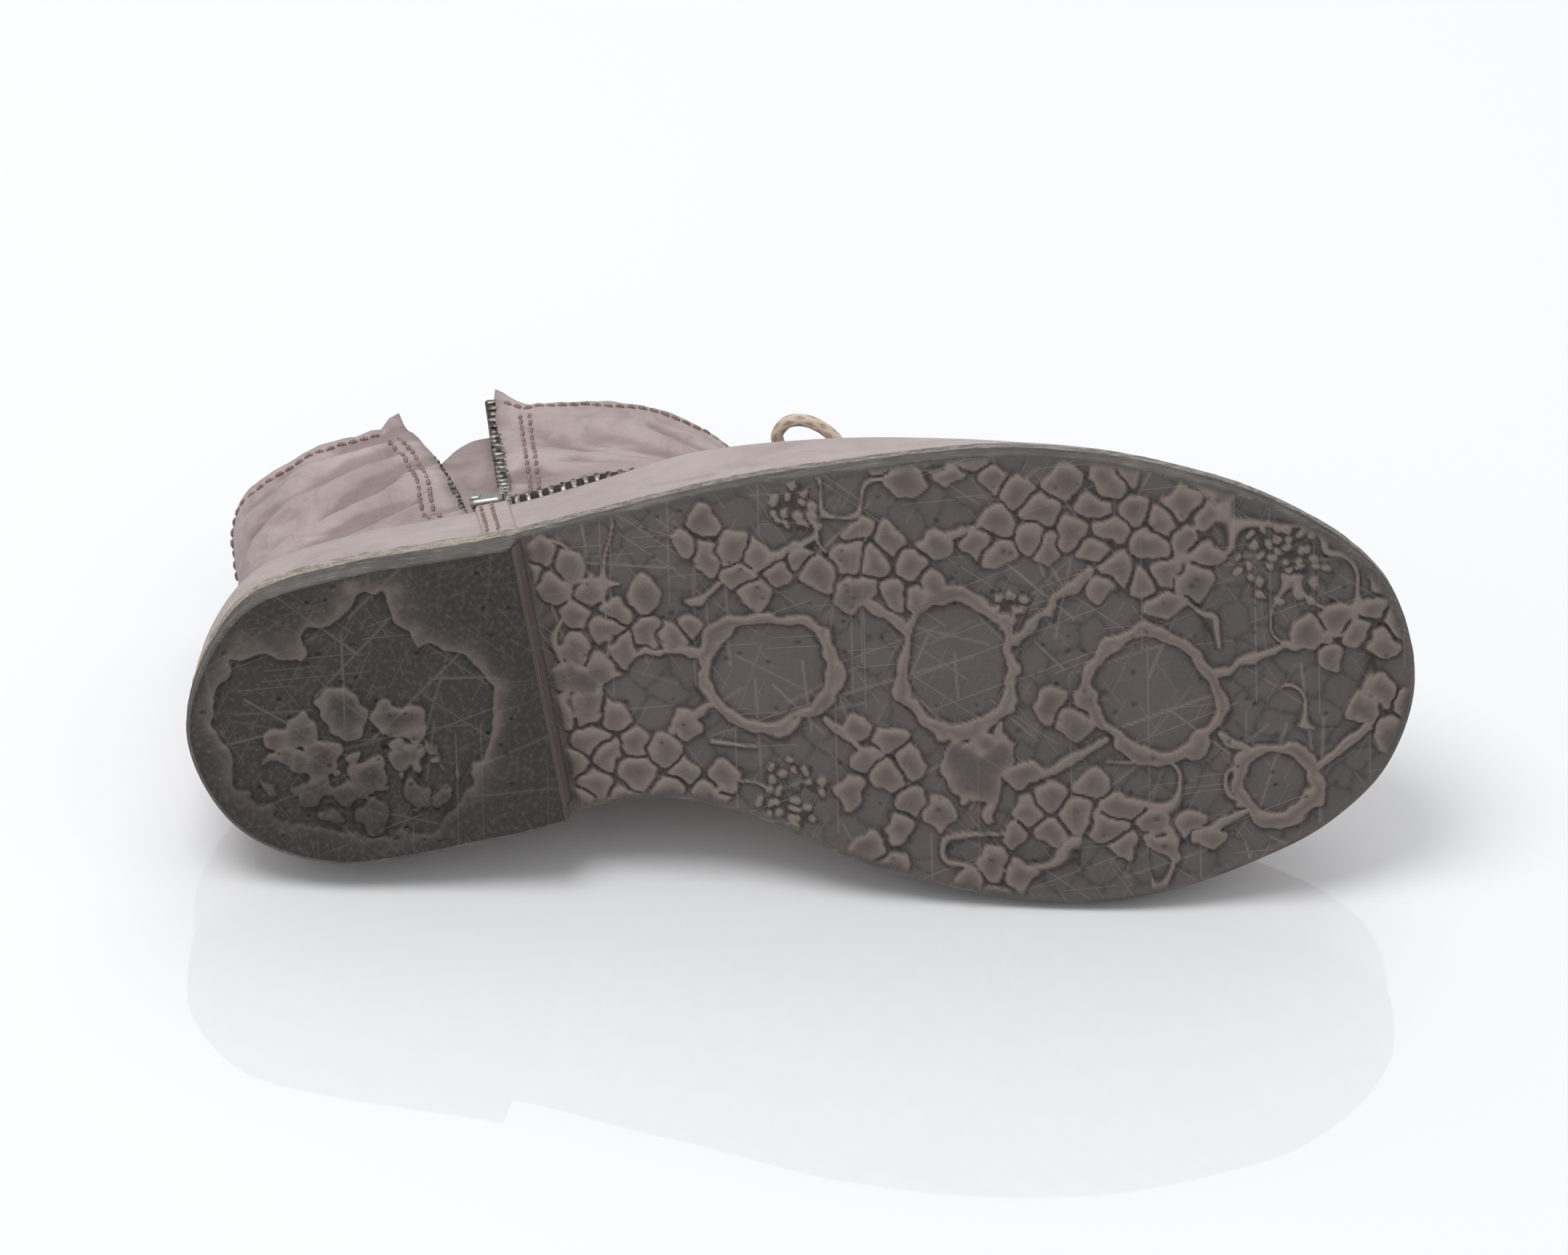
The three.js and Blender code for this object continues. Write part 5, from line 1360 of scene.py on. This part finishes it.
def off_nose(number, distance, height):
    """Point and normal over the throat at a ring, a distance from its middle and a height."""
    number, distance, height = np.broadcast_arrays(
        np.asarray(number, float), np.asarray(distance, float), np.asarray(height, float))
    turn = np.array([nose_place(n, d) for n, d in zip(number.ravel(), distance.ravel())])
    turn = turn.reshape(number.shape)
    normal = plain_normal(turn, number)
    return plain_upper(turn, number) + normal * height[..., None], normal


def throat_ring(distance):
    numbers = np.linspace(THROAT_RING, COLLAR_RING, 400)
    line = plain_upper(np.full(400, 0.5), numbers)
    run = run_along(line)
    return np.interp(distance, run, numbers)


TONGUE_ROWS, TONGUE_COLUMNS = 60, 34
TONGUE_FACE, TONGUE_BACK = 3.6, 4.0  # below the line of the throat
tongue_rows = []
for share in np.linspace(0, 1, TONGUE_ROWS):
    number = THROAT_RING - 0.8 + (COLLAR_RING + 0.22 - THROAT_RING + 0.8) * share
    half = THROAT_HALF * np.interp(share, (0, 0.2, 0.55, 0.85, 0.96, 1),
                                   (1.6, 1.9, 2.05, 2.0, 1.75, 1.35))
    turns = nose_place(min(number, COLLAR_RING), np.linspace(half, -half, TONGUE_COLUMNS))
    tongue_rows.append((turns, np.full(TONGUE_COLUMNS, number)))
turns = np.array([row[0] for row in tongue_rows])
numbers = np.array([row[1] for row in tongue_rows])
normal = plain_normal(turns, np.minimum(numbers, COLLAR_RING))
middle = plain_upper(turns, numbers)
across = np.linspace(-1, 1, TONGUE_COLUMNS)[None, :]
along = np.linspace(0, 1, TONGUE_ROWS)[:, None]
rim = np.minimum(1 - np.abs(across), np.minimum(1 - along, along + 0.2) * 2.5)
puff = 1.25 * ease(rim, 0, 0.22)
ripple = 0.25 * rough(across * 20, along * 50, 7, 91) + 0.16 * rough(across * 20, along * 50, 3, 92)
face = middle + normal * (-TONGUE_FACE + puff + ripple)[..., None]
back = middle + normal * (-TONGUE_BACK - puff + ripple)[..., None]
points, faces = closed_sheet(face, back)
tongue = build("tongue_pad", laid(*points.T), faces, shaft_leather)
recalculate(tongue)
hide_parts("tongue")

# Guard: a soft flap of thin leather behind the open zip, rounded at its top and slightly rippled.
GUARD_REAR, GUARD_FRONT, GUARD_FOOT, GUARD_TOP = 50.5, 79, 31.5, 93.5
GUARD_ROWS, GUARD_COLUMNS, GUARD_THICK = 56, 40, 1.2
gx, gt = np.meshgrid(np.linspace(0, 1, GUARD_COLUMNS), np.linspace(0, 1, GUARD_ROWS))
dome = 1 - 0.2 * np.abs(2 * gx - 1) ** 3.2
x = GUARD_REAR + (GUARD_FRONT - GUARD_REAR) * gx + 1.5 * (1 - gt)
up = GUARD_FOOT + (GUARD_TOP * dome - GUARD_FOOT) * gt
turn, number = place_on_side(x, up)
inward = -3.0 + 0.5 * rough(x * 1.2, up, 10, 95) + 0.3 * rough(x * 1.8, up * 0.6, 4, 96)
plain, normal = plain_upper(turn, number), plain_normal(turn, number)
face = plain + normal * inward[..., None]
back = plain + normal * (inward - GUARD_THICK)[..., None]
points, faces = closed_sheet(face, back)
guard_leather = leather_finish("guard_leather", colour(160, 144, 143), colour(142, 124, 124),
                               colour(118, 99, 99), 0.4, 0.55)
guard = build("zip_guard_flap", laid(*points.T), faces, guard_leather)
recalculate(guard)
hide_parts("zip_guard")

# Zips: coarse metal teeth clamped on a dark woven tape. The outer zip is open, one row on each
# edge. The same teeth, on their own tape, trim the boot between band and vamp.
steel = Finish("zip_metal")
grime = steel.noise(700, 4, 0.65)
dull = steel.noise(120, 3, 0.5)
tone = steel.mix(grime.between(0.38, 0.62), colour(170, 165, 158), colour(70, 66, 63))
zip_metal = steel.end(Base_Color=tone, Metallic=1.0, Roughness=0.3 + dull * 0.25)
tape = Finish("zip_tape")
herring = tape.node("ShaderNodeTexWave", {"wave_type": "BANDS", "bands_direction": "DIAGONAL"}, {
    "Vector": tape.place(), "Scale": 620, "Distortion": 2.5, "Detail": 1})
weft = tape.noise(1500, 3, 0.6)
zip_tape = tape.end(
    Base_Color=tape.mix(herring * 0.7 + weft * 0.3, colour(38, 32, 28), colour(88, 76, 64)),
    Roughness=0.9, Normal=tape.bump(herring + weft * 0.4, 0.0003, 0.9))


def bevelled_block(size, bevel, segments):
    """A block with bevelled edges, sizes in metres."""
    bpy.ops.object.select_all(action="DESELECT")
    bpy.ops.mesh.primitive_cube_add(size=1)
    block = bpy.context.object
    block.data.transform(Matrix.Diagonal((*size, 1)))
    bpy.ops.object.mode_set(mode="EDIT")
    bpy.ops.mesh.select_all(action="SELECT")
    bpy.ops.mesh.bevel(offset=bevel, segments=segments, affect="EDGES")
    bpy.ops.object.mode_set(mode="OBJECT")
    return block


def tooth_shape():
    """One tooth, a bevelled bar with a rounded head: points within half a millimetre and faces."""
    tooth = bevelled_block((1, 1, 1), 0.17, 1)
    points = np.array([tuple(v.co) for v in tooth.data.vertices])
    faces = [list(face.vertices) for face in tooth.data.polygons]
    mesh = tooth.data
    bpy.data.objects.remove(tooth)
    bpy.data.meshes.remove(mesh)
    return points, faces


TOOTH_POINTS, TOOTH_FACES = tooth_shape()


def teeth(name, points, normals, pitch, long, wide, deep, shift=0.0):
    """Teeth across a line on the leather, every pitch along it."""
    run = run_along(points)
    at, along, out, side = seats(
        points, normals, run, np.arange(pitch * (0.5 + shift), run[-1], pitch), 0.5)
    shape = TOOTH_POINTS
    shell = (at[:, None] + along[:, None] * (shape[:, 0] * long)[:, None]
             + side[:, None] * (shape[:, 1] * wide)[:, None]
             + out[:, None] * (shape[:, 2] * deep)[:, None])
    faces = [[n * len(shape) + k for k in face] for n in range(len(at)) for face in TOOTH_FACES]
    piece = build(name, laid(*shell.reshape(-1, 3).T), faces, zip_metal)
    recalculate(piece)
    return piece


def ribbon(name, points, normals, side_from, side_to, thick, finish):
    """A tape along a line, between two distances to its side."""
    along = np.gradient(points, axis=0)
    along /= np.linalg.norm(along, axis=1, keepdims=True)
    out = normals - along * (normals * along).sum(1, keepdims=True)
    out /= np.linalg.norm(out, axis=1, keepdims=True)
    side = np.cross(out, along)
    profile = [(side_from, 0), (side_from, -thick), (side_to, -thick), (side_to, 0)]
    grid = np.array([points + side * s + out * h for s, h in profile]).transpose(1, 0, 2)
    faces = grid_faces(len(points), 4, around=True)
    last = len(points) * 4
    faces += [[0, 1, 2, 3], [last - 1, last - 2, last - 3, last - 4]]
    piece = build(name, laid(*grid.reshape(-1, 3).T), faces, finish)
    recalculate(piece)
    return piece


rows_of_zip = (("front", ZIP_FRONT, -1, (-1.5, 3)), ("rear", ZIP_REAR, 1, (-3, 1.5)))
for name, edge, inward, sides in rows_of_zip:
    heights = np.linspace(40, 99.5 if name == "front" else 92, 120)
    x = np.interp(heights, edge[:, 0], edge[:, 1]) + inward * (1.0 if name == "front" else 0.1)
    turn, number = place_on_side(x, heights)
    plain, normal = plain_upper(turn, number), plain_normal(turn, number)
    sink = -0.55 if name == "front" else -2.4
    line = plain + ears(plain) * 0.8 + normal * sink
    row = teeth("zip_teeth_" + name, line, normal, 2.45, 1.35, 3.0, 2.0, 0.5 * (inward > 0))
    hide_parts("zip_row_" + name)
    cloth = ribbon("zip_tape_" + name, line - normal * 0.35, normal, *sides, 0.5, zip_tape)

# the toothed trim, in the groove from strap to strap around the toe
trim_turns = np.linspace(0.13, 0.85, 1130)
trim_plain = plain_upper(trim_turns, number_above_band(trim_turns, TRIM_WIDTH / 2))
kept = np.where(trim_turns < 0.5, trim_plain[:, 0] > 69.6, trim_plain[:, 0] > TRIM_TO + 0.8)
trim_turns = trim_turns[kept]
trim_number = number_above_band(trim_turns, TRIM_WIDTH / 2 + 0.15)
line, normal = upper_at(trim_turns, trim_number, 0.0)
tipped = 1 - ease(line[:, 0], 84, 102)
line += normal * (0.55 + 0.6 * tipped)[:, None]
facing = normal * 0.72 - tipped[:, None] * np.array([0, 0, 0.7])
trim = teeth("trim_teeth_row", line, facing, 2.6, 1.35, 2.7, 1.1)
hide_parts("trim_teeth")
trim_tape = ribbon("trim_tape", line - normal * 0.32, facing, -1.6, 1.7, 0.5, zip_tape)

# the closed zip of the inner side, between two folded edges of leather
share = np.linspace(0, 1, 90)
chain_x = 92.46 + (80.4 - 92.46) * share
chain_up = 40.04 + (96.2 - 40.04) * share
line, normal = seam_on_side(chain_x, chain_up, outer=False, lift=0.25)
chain = teeth("inner_zip_teeth", line, normal, 2.45, 1.3, 4.6, 1.0)
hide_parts("inner_zip")
chain_tape = ribbon("inner_zip_tape", line, normal, -3.6, 3.6, 0.3, zip_tape)
rows = []
for offset in (-7.6, -5.4, 5.4, 7.6):
    rows.append((*seam_on_side(chain_x + offset, chain_up, outer=False), 2.1, 2.6, 0.4, 0.1))
sewn("inner_zip_seams", rows)

# Slider: a polished cast body in the foot of the open zip, with a small bridge for its pull. It
# runs up the zip to the collar. No pull hangs on it here.
SLIDER_X, SLIDER_UP = 64.3, 40.0
turn, number = place_on_side(np.array([SLIDER_X]), np.array([SLIDER_UP + 0.6]))
seat = laid(*upper_at(turn, number, 1.5)[0].T)[0]
out_axis = Vector(laid(*(upper_at(turn, number, 2.5)[0]).T)[0] - seat).normalized()
out_axis = (out_axis - Vector(UPWARD) * 0.45).normalized()  # tipped towards the sole
fore_axis = Vector(FORWARD)
fore_axis = (fore_axis - out_axis * fore_axis.dot(out_axis)).normalized()
up_axis = out_axis.cross(fore_axis)
if up_axis.dot(Vector(UPWARD)) < 0:
    up_axis = -up_axis
stand = Matrix((fore_axis, up_axis, out_axis)).transposed().to_4x4()
stand.translation = Vector(seat)
polish = Finish("slider_metal")
wear = polish.noise(300, 3, 0.6)
slider_metal = polish.end(
    Base_Color=polish.mix(wear.between(0.4, 0.8), colour(172, 171, 168), colour(120, 118, 114)),
    Metallic=1.0, Roughness=0.26 + wear * 0.18, Normal=polish.bump(wear, 0.0001, 0.4))


def cast_block(place, size, bevel, segments=3):
    """A block of the slider with rounded edges, sizes in millimetres."""
    block = bevelled_block([s / 1000 for s in size], bevel / 1000, segments)
    block.data.transform(Matrix.Translation([p / 1000 for p in place]))
    return block


blocks = [cast_block((0, 0, 0.7), (7.3, 3.5, 2.5), 1.15, 5),
          cast_block((0, 0.2, -1.3), (7.4, 3.4, 1.0), 0.4),
          cast_block((0.2, 2.6, -0.2), (2.0, 2.4, 1.6), 0.5),
          cast_block((-3.3, 2.1, 0.3), (1.2, 2.6, 2.4), 0.45),
          cast_block((3.3, 2.1, 0.3), (1.2, 2.6, 2.4), 0.45),
          cast_block((-2.3, 0.5, 1.9), (2.4, 2.4, 1.2), 0.58, 5)]
bpy.ops.object.select_all(action="DESELECT")
for block in blocks:
    block.select_set(True)
bpy.context.view_layer.objects.active = blocks[0]
bpy.ops.object.join()
slider = bpy.context.object
slider.name = "slider_body"
slider.data.transform(stand)
slider.data.materials.clear()
slider.data.materials.append(slider_metal)
slider.data.polygons.foreach_set("use_smooth", [True] * len(slider.data.polygons))
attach(slider, "root")
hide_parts("zip_slider")

# Eyelets: two rows of small rolled metal rings, and the lace that crosses from one to the other.
EYELET_SET, EYELET_PITCH, EYELET_ROWS = 6, 12.5, 5
EYELET_R, EYELET_BORE = 3.4, 1.6
rolled = [(EYELET_BORE, -2.1), (EYELET_BORE + 0.25, -2.2), (EYELET_BORE + 0.3, 0.15), (2.6, 0.25),
          (3.3, 0.22), (EYELET_R, 0.45), (3.25, 0.75), (2.7, 1.0), (2.1, 0.95), (1.75, 0.7),
          (EYELET_BORE, 0.2)]
brass = Finish("eyelet_metal")
age = brass.noise(400, 4, 0.6)
eyelet_metal = brass.end(
    Base_Color=brass.mix(age.between(0.35, 0.7), colour(150, 142, 130), colour(96, 88, 78)),
    Metallic=1.0, Roughness=0.32 + age * 0.2)
points, faces, names = [], [], []
AROUND_EYELET = 28
for row in range(EYELET_ROWS):
    number = float(throat_ring(EYELET_SET + row * EYELET_PITCH))
    for side, word in ((1, "outer"), (-1, "inner")):
        place, normal = off_nose(number, side * (THROAT_HALF + EYELET_SET), 0.0)
        first = np.cross(normal, (0, 0, 1))
        first /= np.linalg.norm(first)
        second = np.cross(normal, first)
        start = len(points)
        for radius, height in rolled:
            for k in range(AROUND_EYELET):
                angle = 2 * math.pi * k / AROUND_EYELET
                points.append(place + (first * math.cos(angle) + second * math.sin(angle)) * radius
                              + normal * (height + 0.35))
        rings = len(rolled)
        for i in range(rings):
            for k in range(AROUND_EYELET):
                a, b = i * AROUND_EYELET + k, i * AROUND_EYELET + (k + 1) % AROUND_EYELET
                c = ((i + 1) % rings) * AROUND_EYELET
                faces.append([start + a, start + b, start + c + (k + 1) % AROUND_EYELET,
                              start + c + k])
        names.append(f"eyelet_{word}_{row + 1}")
eyelets = build("eyelet_rings", laid(*np.array(points).T), faces, eyelet_metal)
recalculate(eyelets)
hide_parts(*names)

REACH = THROAT_HALF + EYELET_SET
for row in range(EYELET_ROWS):
    low = float(throat_ring(EYELET_SET + row * EYELET_PITCH))
    high = float(throat_ring(EYELET_SET + (row + 1) * EYELET_PITCH)) if row + 1 < EYELET_ROWS else low
    runs = []
    for side in ((1, -1) if row + 1 < EYELET_ROWS else ()):
        share = np.linspace(0, 1, 26)
        hump = np.sin(np.pi * share) * (0.9 + 0.75 * side)
        dip = -4.6 * (ease(share, 0.09, 0) + ease(share, 0.91, 1))
        line, _ = off_nose(low + (high - low) * share, side * REACH * (1 - 2 * share),
                           2.2 + hump + dip)
        runs.append(smooth_route(line))
    if row == 0:
        share = np.linspace(0, 1, 24)
        dip = -4.6 * (ease(share, 0.1, 0) + ease(share, 0.9, 1))
        line, _ = off_nose(low, REACH * (1 - 2 * share), 2.2 + 0.5 * np.sin(np.pi * share) + dip)
        bar = lace_piece("lace_first_bar", [smooth_route(line)])
        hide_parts("lace_bar")
    if runs:
        crossing = lace_piece(f"lace_cross_{row + 1}", runs)
        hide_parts(f"lace_crossing_{row + 1}")

# Insole: a thin leather board with a worn, slightly darker tread, carried over from the model.
sock = Finish("insole_leather")
stain = sock.noise(40, 4, 0.6)
pore = sock.noise(1300, 3, 0.6)
insole_leather = sock.end(
    Base_Color=sock.mix(stain.between(0.35, 0.7), colour(172, 146, 124), colour(142, 116, 96)),
    Roughness=0.7, Normal=sock.bump(pore, 0.0003, 0.5))
for node_slot in frame["nodes"]["insole"].material_slots:
    node_slot.material = insole_leather
